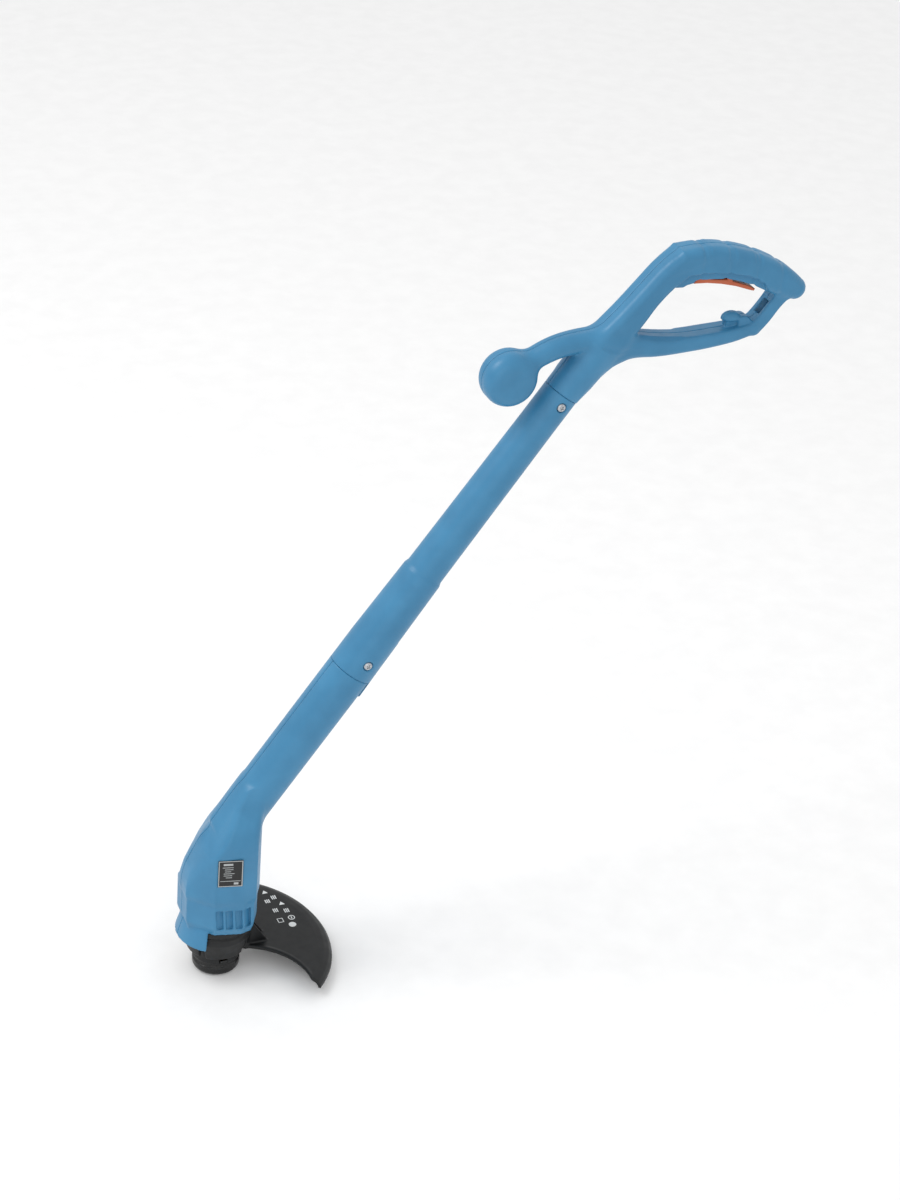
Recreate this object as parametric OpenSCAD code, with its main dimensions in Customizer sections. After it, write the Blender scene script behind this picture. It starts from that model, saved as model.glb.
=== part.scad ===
// Corded string trimmer: a motor head with a bump-feed line spool, a plastic
// tube, and a closed-loop rear handle with a fixed front knob.
// The origin is the middle of the bump knob's flat bottom. +Z runs up the spool
// axis, and the shaft rises in the XZ plane towards +X, where the user stands.

/* [Shaft] */
// Angle of the shaft above the cutting plane
shaft_angle = 54.6; // [52:0.1:57]
// Height at which the shaft's axis crosses the spool axis
axis_cross_z = 151; // [148:0.5:156]
// Distance along the shaft from that crossing to the lower joint
lower_joint_t = 215; // [180:1:260]
// Length of the middle tube between its two joints
tube_length = 333; // [270:1:400]
// Outside diameter of the shaft at the motor head
lower_tube_d = 44; // [42:0.5:53]
// Outside diameter of the middle tube at the handle
upper_tube_d = 35; // [33:0.5:42]
// Distance from the lower joint to the step in the middle tube
tube_step_t = 116; // [90:1:140]
// Height of that step
tube_step_h = 1.4; // [1:0.1:1.7]
// How far each spigot reaches into the middle tube
spigot_length = 34; // [26:1:42]

/* [Head] */
// Height of the underside of the motor housing
head_bottom_z = 61; // [58:0.5:64]
// Height of the top of the recessed lower band
band_top_z = 98; // [95:0.5:102]
// Wall of all the blue shells
wall = 2.6; // [2.2:0.1:3.1]
// Distance from the spool axis to the front of the housing
head_front_x = 37; // [36:0.5:44]
// Half of the housing's greatest width
head_half_width = 43; // [40:0.5:51]
// Number of cooling slots on each flank
flank_slots = 4; // [2:1:5]

/* [Motor] */
// Outside diameter of the stator
stator_d = 56; // [50:0.5:58]
// Length of the stator stack
stack_length = 32; // [26:0.5:34]
// Air gap between the armature and the poles
air_gap = 0.6; // [0.4:0.1:0.8]
// Diameter of the motor shaft in its lower bearing
motor_shaft_d = 8; // [7:0.5:9]
// Diameter of the motor shaft in its upper bearing
shaft_top_d = 6; // [5:0.5:6.5]

/* [Spool] */
// Outside diameter of the bump knob
knob_d = 44; // [40:0.5:47]
// Upward travel of the bump knob
bump_travel = 4; // [3:0.5:5]
// Diameter of the cutting line
line_d = 1.4; // [1.2:0.1:1.8]

/* [Guard] */
// Radius of the guard's rim
guard_r = 113; // [100:1:136]
// Height of the guard's top face
guard_top_z = 20; // [18:0.5:22]
// Half of the angle that the guard covers
guard_half_angle = 46; // [38:1:52]
// Depth of the skirt round the guard's rim
skirt_h = 9; // [7:0.5:11]

/* [Handle] */
// Half of the grip's width
grip_half_width = 15; // [14:0.5:18]
// Radius of the front knob
front_knob_r = 26; // [22:0.5:30]
// Half of the front knob's thickness
front_knob_half = 19; // [17:0.5:23]
// Trigger travel in degrees
trigger_travel = 5.5; // [4:0.5:6]

/* [Fits] */
// Radial gap of a spigot in its socket
spigot_gap = 0.15; // [0.1:0.05:0.3]
// Radial gap of a shaft or pin that turns in its bore
running_gap = 0.05; // [0.02:0.01:0.09]
// Gap beside a part that slides or swings in a slot
slide_gap = 0.4; // [0.3:0.05:0.6]
// Diameter of the thread of a housing screw
screw_d = 3.2; // [2.9:0.1:3.6]
// Diameter of a housing screw's head
screw_head_d = 6.4; // [6:0.1:7.2]

/* [Hidden] */
$fn = 64;

BLUE = "#5a9cc8";
BLACK = "#26292c";
STEEL = "#b9bcc0";
COPPER = "#b4703c";

eps = 0.01;
big = 1200;
dir_x = cos(shaft_angle);
dir_z = sin(shaft_angle);
tube_top_t = lower_joint_t + tube_length;

// ---- shared shape helpers ----

// Turns the children so that +Z runs along the shaft and +X points to its underside.
module on_shaft(t) {
    translate([t * dir_x, 0, axis_cross_z + t * dir_z]) rotate([0, 90 - shaft_angle, 0]) children();
}

// Draws an outline given in X and Z, thick from y0 to y1.
module side_plate(y0, y1, pts) {
    translate([0, y1, 0]) rotate([90, 0, 0]) linear_extrude(y1 - y0) polygon(pts);
}

// A round bar along Y.
module cross_bar(x, z, r, y0, y1) {
    translate([x, y1, z]) rotate([90, 0, 0]) cylinder(r = r, h = y1 - y0);
}

module tube(r_out, r_in, h) {
    difference() {
        cylinder(r = r_out, h = h);
        translate([0, 0, -1]) cylinder(r = r_in, h = h + 2);
    }
}

// Keeps one side of the XZ plane: side -1 is the left half, +1 the right half.
module half(side) {
    intersection() {
        children();
        translate([-big / 2, side < 0 ? -big : 0, -big / 2]) cube([2 * big, big, 2 * big]);
    }
}

function unit(v) = v / norm(v);

// Moves every side of a closed anticlockwise outline inwards by d.
function inset(pts, d) = let (n = len(pts)) [
    for (i = [0 : n - 1])
        let (u = unit(pts[i] - pts[(i + n - 1) % n]), v = unit(pts[(i + 1) % n] - pts[i]),
             a = [-u.y, u.x], b = [-v.y, v.x])
        pts[i] + d * (a + b) / (1 + a * b)
];

// A smooth curve through a list of stations, each a vector of any length.
function curve(p, steps) = [
    for (i = [0 : len(p) - 2], s = [0 : steps - 1])
        let (a = p[max(i - 1, 0)], b = p[i], c = p[i + 1], d = p[min(i + 2, len(p) - 1)], t = s / steps)
        0.5 * (2 * b + (c - a) * t + (2 * a - 5 * b + 4 * c - d) * t * t
            + (3 * b - a - 3 * c + d) * t * t * t),
    p[len(p) - 1]
];

// The outline of a limb whose stations are [x, z, half height], drawn smaller by less.
function limb_outline(stations, less, steps) = let (c = curve(stations, steps), n = len(c)) concat(
    [for (i = [0 : n - 1]) limb_point(c, i, n, less, -1)],
    [for (i = [n - 1 : -1 : 0]) limb_point(c, i, n, less, 1)]);
function limb_point(c, i, n, less, sign) =
    let (a = c[max(i - 1, 0)], b = c[min(i + 1, n - 1)], u = unit([b.x - a.x, b.y - a.y]))
    [c[i].x, c[i].y] + sign * (c[i].z - less) * [-u.y, u.x];

// A round wire or cable of n sides swept along points; sides holds one vector across each.
module sweep(points, sides, r, n) {
    count = len(points);
    rings = [for (i = [0 : count - 1])
        let (t = unit(points[min(i + 1, count - 1)] - points[max(i - 1, 0)]), v = cross(t, sides[i]))
        for (k = [0 : n - 1]) points[i] + r * (cos(k * 360 / n) * sides[i] + sin(k * 360 / n) * v)];
    skin = [for (i = [0 : count - 2], k = [0 : n - 1])
        let (a = i * n + k, b = i * n + (k + 1) % n)
        [a, a + n, b + n, b]];
    polyhedron(points = rings, convexity = 8, faces = concat(skin,
        [[for (k = [0 : n - 1]) k]], [[for (k = [n - 1 : -1 : 0]) (count - 1) * n + k]]));
}

// A compression spring standing on the XY plane.
module coil_spring(r, wire, h, turns) {
    n = turns * 12;
    turn = [for (i = [0 : n]) [cos(i * 30), sin(i * 30), 0]];
    sweep([for (i = [0 : n]) r * turn[i] + [0, 0, wire + (h - 2 * wire) * i / n]], turn, wire, 6);
}

// ---- motor head ----

head_plan = [
    [-head_front_x, 17], [-head_front_x, -17], [-15.5, 6 - head_half_width],
    [8, -head_half_width], [26, 4 - head_half_width], [38, -22],
    [38, 22], [26, head_half_width - 4], [8, head_half_width], [-15.5, head_half_width - 6]
];
head_back_x = 38;
// Front edge of the housing seen from the side, from the band up to the shaft.
head_side = [
    [-head_front_x, band_top_z - 4], [head_back_x, band_top_z - 4], [head_back_x, 168],
    [46, 206], [30, 226], [2, 196], [-9, 180], [-18, 163], [-24, 148], [-29, 133], [-head_front_x, 110]
];
// Half widths of the head seen from the front, by height: it narrows into the shaft.
head_front = [
    [-head_half_width, head_bottom_z], [head_half_width, head_bottom_z], [head_half_width, 150],
    [head_half_width - 4, 165], [head_half_width - 11, 182], [head_half_width - 20, 198], [16, 216],
    [-16, 216], [20 - head_half_width, 198], [11 - head_half_width, 182], [4 - head_half_width, 165],
    [-head_half_width, 150]
];
band_inset = 2.4;
band_foot_inset = 5.5;
floor_z = head_bottom_z + wall;
lower_r = lower_tube_d / 2;
spigot_r = lower_r - wall - 0.6;
apron_r = head_front_x + 5;
apron_drop = 17;
apron_half_angle = 57;
tube_cavity_r = spigot_r - wall;

// The solid outer form of the head; less draws the cavity inside it.
module head_form(less) {
    intersection() {
        translate([0, 0, head_bottom_z]) linear_extrude(200) polygon(inset(head_plan, less));
        side_plate(-80, 80, inset(head_side, less));
        translate([-100, 0, 0]) rotate([90, 0, 90]) linear_extrude(200) polygon(inset(head_front, less));
    }
    band_form(less);
}

// The recessed band under the front panel, which carries the cooling slots.
module band_form(less) {
    mid_z = head_bottom_z + 12;
    translate([0, 0, mid_z]) linear_extrude(band_top_z + 6 - mid_z) polygon(inset(head_plan, band_inset + less));
    translate([0, 0, head_bottom_z + (less > 0 ? wall : 0)])
        linear_extrude(mid_z + eps - head_bottom_z - (less > 0 ? wall : 0))
            polygon(inset(head_plan, band_foot_inset + less));
}

stator_z = 86;
stator_top_z = stator_z + stack_length;
bridge_z = 137;
bridge_h = 8;
bridge_half_length = 31;
ledge_h = 3;
head_bosses = [[-30, 78], [31, 78], [30, 150], [64, 222], [94, 264]];
boss_r = 4.6;
screw_face_y = 12;
guard_bolt_r = 29.5;
guard_bolt_angles = [45, 135, 225, 315];
guard_boss_h = 11;
joint_screw_t = 17;
joint_screw_d = 4;
joint_head_d = 9;
joint_head_h = 3;
tube_vents = 5;
tube_vent_first_t = 32;
tube_vent_pitch = 11;

// A closed tube from the head to the lower joint, with its spigot.
module lower_shaft(less) {
    on_shaft(10) cylinder(r = lower_r - less, h = lower_joint_t - 10);
    on_shaft(lower_joint_t - eps) cylinder(r = spigot_r - (less > 0 ? wall : 0), h = spigot_length);
}

module flank_slot(i, side) {
    x = -9 + i * 9.5;
    translate([x, side * (head_half_width - 4), head_bottom_z + 22]) rotate([side * 5, 0, 0])
        cube([4.2, 24, 24], center = true);
}

module housing_half(side) {
    color(BLUE) difference() {
        half(side) union() {
            difference() {
                union() {
                    head_form(0);
                    lower_shaft(0);
                }
                head_form(wall);
                on_shaft(8) cylinder(r = lower_r - wall, h = lower_joint_t - 8 - 6);
                on_shaft(8) cylinder(r = tube_cavity_r, h = lower_joint_t + spigot_length);
            }
            head_ribs();
            apron();
            intersection() {
                union() {
                    head_form(wall - 0.5);
                    lower_shaft(wall - 0.5);
                }
                head_boss_posts();
            }
        }
        housing_cuts(side);
    }
}

// Ribs that hold the stator and the brush bridge, and bosses for the guard's screws.
module head_ribs() {
    stator_r = stator_d / 2;
    intersection() {
        head_form(wall - 0.5);
        union() {
            for (z = [stator_z - ledge_h, stator_top_z]) difference() {
                translate([-60, -60, z]) cube([120, 120, ledge_h]);
                translate([0, 0, z - 1]) cylinder(r = stator_r - 2, h = ledge_h + 2);
            }
            difference() {
                translate([-60, -60, stator_z - eps]) cube([120, 120, stack_length / 3]);
                translate([0, 0, stator_z - 1]) cylinder(r = stator_r + spigot_gap, h = stack_length);
            }
            for (s = [-1, 1], z = [bridge_z - ledge_h, bridge_z + bridge_h])
                translate([-11, s > 0 ? bridge_half_length - 3 : -60, z])
                    cube([22, 63 - bridge_half_length, ledge_h]);
            for (a = guard_bolt_angles) rotate(a) translate([guard_bolt_r, 0, floor_z - eps])
                cylinder(r = boss_r, h = guard_boss_h);
        }
    }
}

module apron() {
    root_r = collar_out + slide_gap;
    rotate([0, 0, 180 - apron_half_angle]) rotate_extrude(angle = 2 * apron_half_angle)
        polygon([[root_r - 6.4, head_bottom_z], [root_r - 2.4, head_bottom_z + 6],
            [root_r + wall, head_bottom_z + 2], [apron_r, head_bottom_z - apron_drop],
            [apron_r - wall, head_bottom_z - apron_drop], [root_r, head_bottom_z - 4],
            [root_r, head_bottom_z]]);
}

module head_boss_posts() {
    for (p = head_bosses) cross_bar(p.x, p.y, boss_r, -60, 60);
}

module housing_cuts(side) {
    // opening for the motor shaft and the bearing plate's spigot
    translate([0, 0, head_bottom_z - 1]) cylinder(r = plate_spigot_r + spigot_gap, h = wall + 2);
    for (a = guard_bolt_angles) rotate(a) translate([guard_bolt_r, 0, head_bottom_z - 1])
        cylinder(r = screw_d / 2, h = guard_boss_h + wall - 1);
    for (p = head_bosses) {
        cross_bar(p.x, p.y, screw_d / 2, -8, screw_face_y + 1);
        cross_bar(p.x, p.y, screw_head_d / 2 + 0.3, screw_face_y, 60);
    }
    for (i = [0 : flank_slots - 1]) flank_slot(i, side);
    for (i = [0 : tube_vents - 1]) on_shaft(tube_vent_first_t + i * tube_vent_pitch)
        translate([lower_r - 7, -9, -1.8]) cube([20, 18, 3.6]);
    on_shaft(lower_joint_t + joint_screw_t) rotate([90, 0, 0])
        cylinder(r = joint_screw_d / 2 + spigot_gap, h = 80, center = true);
    label_pose(side) translate([-label_w / 2, -label_h / 2, -0.6]) cube([label_w, label_h, 5]);
}

module housing_left() { housing_half(-1); }
module housing_right() { housing_half(1); }

// One self-tapping screw along Y: the head sits at face_y, on the +Y side.
module side_screw(x, z, face_y, length) {
    cross_bar(x, z, screw_d / 2, face_y - length, face_y + eps);
    difference() {
        cross_bar(x, z, screw_head_d / 2, face_y, face_y + 2.6);
        for (a = [0, 90]) translate([x, face_y + 2.6, z]) rotate([0, a, 0])
            cube([3.6, 1.6, 0.9], center = true);
    }
}

module housing_screws() {
    color(STEEL) for (p = head_bosses) side_screw(p.x, p.y, screw_face_y, 18);
}

label_w = 21;
label_h = 31;
label_t = 0.9;
label_z = 139;
// The label lies on the flank face between the second and third corners of the plan.
label_a = head_plan[2];
label_b = head_plan[3];
module label_pose(side) {
    mid = (label_a + label_b) / 2;
    turn = atan2(label_b.y - label_a.y, label_b.x - label_a.x);
    if (side < 0) translate([mid.x, mid.y, label_z]) rotate([90, 0, turn]) children();
}

module rating_label() {
    color("#3a3d40") label_pose(-1) translate([-label_w / 2 + 0.2, -label_h / 2 + 0.2, -0.6])
        cube([label_w - 0.4, label_h - 0.4, label_t]);
}

// ---- motor ----

pole_r = 17;
yoke_t = 2.5;
armature_r = pole_r - air_gap;
comm_r = 11;
comm_z = 122;
comm_h = 11;
brush_z = comm_z + comm_h / 2;
brush_w = 6;
upper_bearing_d = 19;
upper_bearing_h = 6;
lower_bearing_d = 22;
lower_bearing_h = 7;
plate_t = 3;
plate_spigot_r = 15;
plate_z = floor_z;
lower_bearing_z = plate_z + 1;
shaft_r = motor_shaft_d / 2;
shaft_shoulder_z = bridge_z - 1;

module stator_core() {
    color("#8a8d90") translate([0, 0, stator_z]) {
        tube(stator_d / 2, stator_d / 2 - yoke_t, stack_length);
        for (a = [0, 180]) rotate(a - 48) rotate_extrude(angle = 96)
            translate([pole_r, 0]) square([stator_d / 2 - yoke_t - pole_r + 0.5, stack_length]);
    }
}

// Two saddle coils, each wound round one pole.
module field_coils() {
    coil_in = pole_r + 1;
    coil_out = stator_d / 2 - yoke_t - 0.5;
    overhang = 2.4;
    color(COPPER) for (a = [0, 180]) rotate(a) difference() {
        rotate([0, 0, -82]) rotate_extrude(angle = 164) translate([coil_in, stator_z - overhang])
            square([coil_out - coil_in, stack_length + 2 * overhang]);
        rotate([0, 0, -50]) rotate_extrude(angle = 100) translate([coil_in - 1, stator_z - 0.2])
            square([coil_out - coil_in + 2, stack_length + 0.4]);
    }
}

module brush_bridge() {
    color("#3c3f42") difference() {
        union() {
            translate([-10.5, 0.2 - bridge_half_length, bridge_z])
                cube([21, 2 * bridge_half_length - 0.4, bridge_h]);
            translate([0, 0, bridge_z]) cylinder(r = upper_bearing_d / 2 + 3, h = bridge_h);
        }
        translate([0, 0, bridge_z - 1]) cylinder(r = upper_bearing_d / 2, h = upper_bearing_h + 1);
        translate([0, 0, bridge_z]) cylinder(r = shaft_top_d / 2 + 1, h = bridge_h + 1);
    }
}

module brush_holders() {
    color("#5d4a35") for (a = [90, 270]) rotate(a) difference() {
        translate([comm_r + 2, -brush_w / 2 - 2, brush_z - brush_w / 2 - 2])
            cube([15, brush_w + 4, bridge_z - brush_z + brush_w / 2 + 2]);
        translate([comm_r, -brush_w / 2, brush_z - brush_w / 2]) cube([15, brush_w, brush_w]);
    }
}

module carbon_brushes() {
    color("#2b2b2d") for (a = [90, 270]) rotate(a)
        translate([comm_r + slide_gap, -brush_w / 2 + 0.1, brush_z - brush_w / 2 + 0.1])
            cube([12, brush_w - 0.2, brush_w - 0.2]);
}

module bearing(bore_d, outer_d, h) {
    color(STEEL) difference() {
        cylinder(r = outer_d / 2, h = h);
        translate([0, 0, -1]) cylinder(r = bore_d / 2 + running_gap, h = h + 2);
        for (z = [-1, h - 0.5]) translate([0, 0, z]) tube(outer_d / 2 - 2, bore_d / 2 + 2, 1.5);
    }
}

module upper_bearing() {
    translate([0, 0, bridge_z]) bearing(shaft_top_d, upper_bearing_d, upper_bearing_h);
}

module lower_bearing() {
    translate([0, 0, lower_bearing_z]) bearing(motor_shaft_d, lower_bearing_d, lower_bearing_h);
}

// Plate on the housing floor that seats the lower bearing.
module bearing_plate() {
    color("#3c3f42") difference() {
        union() {
            translate([0, 0, plate_z]) cylinder(r = 24, h = plate_t);
            translate([0, 0, plate_z]) cylinder(r = lower_bearing_d / 2 + 2.6, h = 7);
            translate([0, 0, head_bottom_z + 0.4]) cylinder(r = plate_spigot_r, h = wall);
        }
        translate([0, 0, lower_bearing_z]) cylinder(r = lower_bearing_d / 2, h = 20);
        translate([0, 0, head_bottom_z - 1]) cylinder(r = shaft_r + 1.5, h = 20);
    }
}

block_top_z = bridge_z + bridge_h + 9;
module terminal_block() {
    color("#d8d6cf") difference() {
        translate([-6, -10, bridge_z + bridge_h]) cube([12, 20, 9]);
        for (y = [-5, 5]) translate([0, y, block_top_z - 3]) cylinder(r = 1.6, h = 4);
        translate([0, 0, bridge_z + bridge_h - 1]) cylinder(r = shaft_top_d / 2 + 1, h = 3);
    }
}

shaft_foot_z = 26;
module motor_shaft() {
    color(STEEL) {
        translate([0, 0, shaft_foot_z]) cylinder(r = shaft_r, h = shaft_shoulder_z - shaft_foot_z);
        translate([0, 0, shaft_foot_z]) cylinder(r = shaft_top_d / 2, h = bridge_z + 7 - shaft_foot_z);
    }
}

armature_slots = 12;
module armature_core() {
    color("#77797c") translate([0, 0, stator_z + 1]) difference() {
        cylinder(r = armature_r, h = stack_length - 2);
        translate([0, 0, -1]) cylinder(r = shaft_r, h = stack_length + 2);
        for (i = [0 : armature_slots - 1]) rotate(i * 360 / armature_slots)
            translate([armature_r - 6, -1.4, -1]) cube([8, 2.8, stack_length + 2]);
    }
}

// End turns above and below the core, joined by the bundles in its slots.
module armature_windings() {
    core_z = stator_z + 1;
    core_h = stack_length - 2;
    color(COPPER) {
        for (z = [core_z - 3.4, core_z + core_h]) translate([0, 0, z]) tube(armature_r - 1.6, shaft_r + 1.2, 3.4);
        for (i = [0 : armature_slots - 1]) rotate(i * 360 / armature_slots)
            translate([armature_r - 5.8, -1.2, core_z - 0.5]) cube([4, 2.4, core_h + 1]);
    }
}

module commutator() {
    color(COPPER) difference() {
        translate([0, 0, comm_z]) cylinder(r = comm_r, h = comm_h);
        translate([0, 0, comm_z - 1]) cylinder(r = shaft_r, h = comm_h + 2);
        for (i = [0 : armature_slots - 1]) rotate((i + 0.5) * 360 / armature_slots)
            translate([comm_r - 1.2, -0.3, comm_z - 1]) cube([3, 0.6, comm_h + 2]);
    }
}

fan_z = 73;
fan_r = 24;
module cooling_fan() {
    color("#4a4d50") difference() {
        union() {
            translate([0, 0, fan_z]) cylinder(r = fan_r, h = 1.6);
            translate([0, 0, fan_z]) cylinder(r = shaft_r + 3, h = 8);
            for (i = [0 : 8]) rotate(i * 40) translate([shaft_r + 2, -0.8, fan_z + 1])
                rotate([0, 0, 12]) cube([fan_r - shaft_r - 3.5, 1.6, 7]);
        }
        translate([0, 0, fan_z - 1]) cylinder(r = shaft_r, h = 12);
    }
}

// ---- spool head ----

knob_r = knob_d / 2;
hub_in = knob_r + slide_gap;
hub_out = hub_in + 2.4;
hub_bottom_z = 15;
hub_top_z = 41;
lug_z = hub_bottom_z + 2.4;
lug_h = 3;
lug_w = 7;
eyelet_z = 29;
spool_r = knob_r - 3.4;
knob_floor = 4;
spool_z = knob_floor + 1;
spool_top_z = hub_top_z - 4 - bump_travel - 1.5;
core_r = 10;
post_r = 7;
post_foot_z = 14;

module spool_hub() {
    color(BLACK) difference() {
        union() {
            translate([0, 0, hub_bottom_z]) tube(hub_out, hub_in, hub_top_z - hub_bottom_z);
            translate([0, 0, hub_top_z - 3]) cylinder(r = hub_out, h = 3);
            translate([0, 0, post_foot_z]) cylinder(r = post_r, h = hub_top_z - post_foot_z);
            translate([0, 0, hub_top_z - eps]) cylinder(r = post_r + 3, h = 5);
        }
        translate([0, 0, shaft_foot_z]) cylinder(r = shaft_r, h = 40);
        for (a = [0, 180]) rotate(a) {
            translate([hub_in - 2, 0, eyelet_z]) rotate([0, 90, 0]) cylinder(r = eyelet_r + spigot_gap, h = 8);
            rotate(90) translate([hub_in - 3, -lug_w / 2 - slide_gap, lug_z - 0.2])
                cube([9, lug_w + 2 * slide_gap, lug_h + bump_travel + 0.8]);
        }
    }
}

eyelet_r = 3;
module line_eyelets() {
    color(STEEL) for (a = [0, 180]) rotate(a)
        translate([hub_in - 0.2, 0, eyelet_z]) rotate([0, 90, 0]) difference() {
        union() {
            cylinder(r = eyelet_r, h = hub_out - hub_in + 0.6);
            translate([0, 0, hub_out - hub_in + 0.3]) cylinder(r = eyelet_r + 1.2, h = 0.9);
        }
        translate([0, 0, -1]) cylinder(r = line_d / 2 + 0.5, h = 8);
    }
}

spring_r = post_r + 1.6;
spring_wire = 0.5;

bump_spring_z = spool_top_z + 0.2;
module bump_spring() {
    color(STEEL) translate([0, 0, bump_spring_z])
        coil_spring(spring_r, spring_wire, hub_top_z - 3.2 - bump_spring_z, 3);
}

module bump_knob() {
    edge = 5;
    skirt_in = knob_r - 2.4;
    skirt_top = lug_z + lug_h;
    color("#17191b") {
        rotate_extrude() polygon(concat(
            [[0, 0], [knob_r - edge, 0]],
            [for (a = [-75 : 15 : 0]) [knob_r - edge + edge * cos(a), edge + edge * sin(a)]],
            [[knob_r, skirt_top], [skirt_in, skirt_top], [skirt_in, knob_floor], [0, knob_floor]]));
        // lugs that hold the knob in the hub's slots
        for (a = [90, 270]) rotate(a) translate([knob_r - 1.2, -lug_w / 2, lug_z])
            cube([hub_out - knob_r + 0.8, lug_w, lug_h - 0.2]);
    }
}

module line_spool() {
    flange = 1.8;
    color("#3a3e42") difference() {
        union() {
            translate([0, 0, spool_z]) cylinder(r = core_r, h = spool_top_z - spool_z);
            for (z = [spool_z, spool_top_z - flange]) translate([0, 0, z]) cylinder(r = spool_r, h = flange);
        }
        translate([0, 0, post_foot_z - bump_travel - 3]) cylinder(r = post_r + slide_gap, h = 60);
    }
}

module nylon_line() {
    // the wound line as one ribbed coil, turns side by side
    turn_count = floor((spool_top_z - spool_z - 5) / (2 * line_d));
    pitch = (spool_top_z - spool_z - 4.4) / turn_count;
    coil_r = spool_r - 2;
    color("#d98a3a") translate([0, 0, spool_z + 2.2]) rotate_extrude() polygon(concat(
        [[core_r + 0.3, 0]],
        [for (i = [0 : turn_count - 1], k = [0 : 3])
            [coil_r - 0.5 * line_d + 0.5 * line_d * sin(k * 60), pitch * (i + k / 4) + eps]],
        [[core_r + 0.3, pitch * turn_count - pitch / 4]]));
}

// ---- guard ----

collar_out = head_front_x - 2;
collar_z = head_bottom_z - 15;
shroud_bottom_z = 26;
shroud_r = hub_out + 2.2;
guard_t = 3;
neck_r = shroud_r + 1;
neck_angle = 20;

guard_far_angle = guard_half_angle + 12;

// One side of the guard's outline from the neck to the tip, by radius and angle. The near side
// (-1) is swept back, and the far side (1) is fuller and reaches further round.
function guard_side(s) = [
    for (k = [0 : 6]) let (f = k / 6, r = neck_r + (guard_r - neck_r) * f,
        tip = s < 0 ? guard_half_angle : guard_far_angle,
        a = s * (neck_angle + (tip - neck_angle) * pow(f, s < 0 ? 1.7 : 0.7)))
        [r * cos(a), r * sin(a)]
];

// The guard's plan, wider than its rim; the round rim itself cuts it off.
module guard_plan() {
    reach = 1.3;
    near = guard_half_angle + 1;
    far = guard_far_angle + 1;
    polygon(concat(guard_side(-1), [guard_r * reach * [cos(near), -sin(near)]],
        [guard_r * reach * [1.2, 0]],
        [guard_r * reach * [cos(far), sin(far)]], [for (k = [6 : -1 : 0]) guard_side(1)[k]]));
}

// Crescent plate with a skirt under its rim.
module guard_plate() {
    foot_z = guard_top_z - skirt_h;
    difference() {
        intersection() {
            translate([0, 0, foot_z]) cylinder(r = guard_r, h = skirt_h, $fn = 128);
            translate([0, 0, foot_z - 1]) linear_extrude(skirt_h + 2) guard_plan();
        }
        translate([0, 0, foot_z - 1]) cylinder(r = guard_r - 2.6, h = skirt_h + 1 - guard_t, $fn = 128);
    }
}

module guard() {
    color(BLACK) difference() {
        union() {
            guard_plate();
            // conical shroud and collar
            rotate_extrude() polygon([
                [shroud_r, shroud_bottom_z], [shroud_r + 2.6, shroud_bottom_z],
                [collar_out, collar_z], [collar_out, head_bottom_z], [collar_out - 9.5, head_bottom_z],
                [collar_out - 9.5, collar_z + 3], [shroud_r + 1, collar_z - 6]]);
            // web from the shroud down to the plate
            translate([shroud_r - 0.4, -neck_r * sin(neck_angle) + 0.5, guard_top_z - guard_t])
                cube([4, 2 * neck_r * sin(neck_angle) - 1, collar_z - guard_top_z + 3]);
            for (s = [-1, 1]) side_plate(s * 7 - 1.2, s * 7 + 1.2, [[shroud_r + 1, guard_top_z - 1],
                [shroud_r + 26, guard_top_z - 1], [collar_out - 1, collar_z + 2], [shroud_r + 1, collar_z + 2]]);
        }
        for (a = guard_bolt_angles) rotate(a) translate([guard_bolt_r, 0, 0]) {
            translate([0, 0, collar_z - 1]) cylinder(r = screw_d / 2 + 0.2, h = 30);
            translate([0, 0, shroud_bottom_z])
                cylinder(r = screw_head_d / 2 + 0.3, h = screw_seat_z - shroud_bottom_z);
        }
        cutter_pose() for (x = cutter_holes) translate([x, 0, -1]) cylinder(r = cutter_hole_r, h = 12);
    }
}

screw_seat_z = collar_z + 4;
module guard_screws() {
    color(STEEL) for (a = guard_bolt_angles) rotate(a) translate([guard_bolt_r, 0, screw_seat_z]) {
        cylinder(r = screw_d / 2, h = head_bottom_z - screw_seat_z + 9);
        translate([0, 0, -2.6]) difference() {
            cylinder(r = screw_head_d / 2, h = 2.6 + eps);
            for (b = [0, 90]) rotate(b) translate([-1.8, -0.45, -1]) cube([3.6, 0.9, 2]);
        }
    }
}

// Line cutter: a steel blade under the guard near its leading edge.
cutter_angle = 34;
cutter_holes = [-6, 6];
cutter_hole_r = 1.7;
module cutter_pose() {
    rotate(cutter_angle) translate([guard_r - 12, 0, guard_top_z - guard_t]) rotate([0, 0, 90]) children();
}

module line_cutter() {
    color(STEEL) cutter_pose() difference() {
        union() {
            translate([-11, -5, -1.5]) cube([22, 10, 1.5]);
            translate([-11, -5, -9]) cube([1.5, 10, 9]);
        }
        for (x = cutter_holes) translate([x, 0, -3]) cylinder(r = cutter_hole_r, h = 6);
    }
}

module cutter_screws() {
    color(STEEL) cutter_pose() for (x = cutter_holes) translate([x, 0, 0]) {
        translate([0, 0, -1.5]) cylinder(r = cutter_hole_r - 0.1, h = guard_t + 1.5);
        translate([0, 0, -3.5]) cylinder(r = 3, h = 2);
    }
}

// ---- middle tube ----

tube_wall = 2.4;
step_r_low = lower_r - 1.6;
upper_r = upper_tube_d / 2;
upper_spigot_r = upper_r - tube_wall - spigot_gap;
bore_low_r = spigot_r + spigot_gap;
bore_top_r = upper_r - tube_wall;

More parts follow.
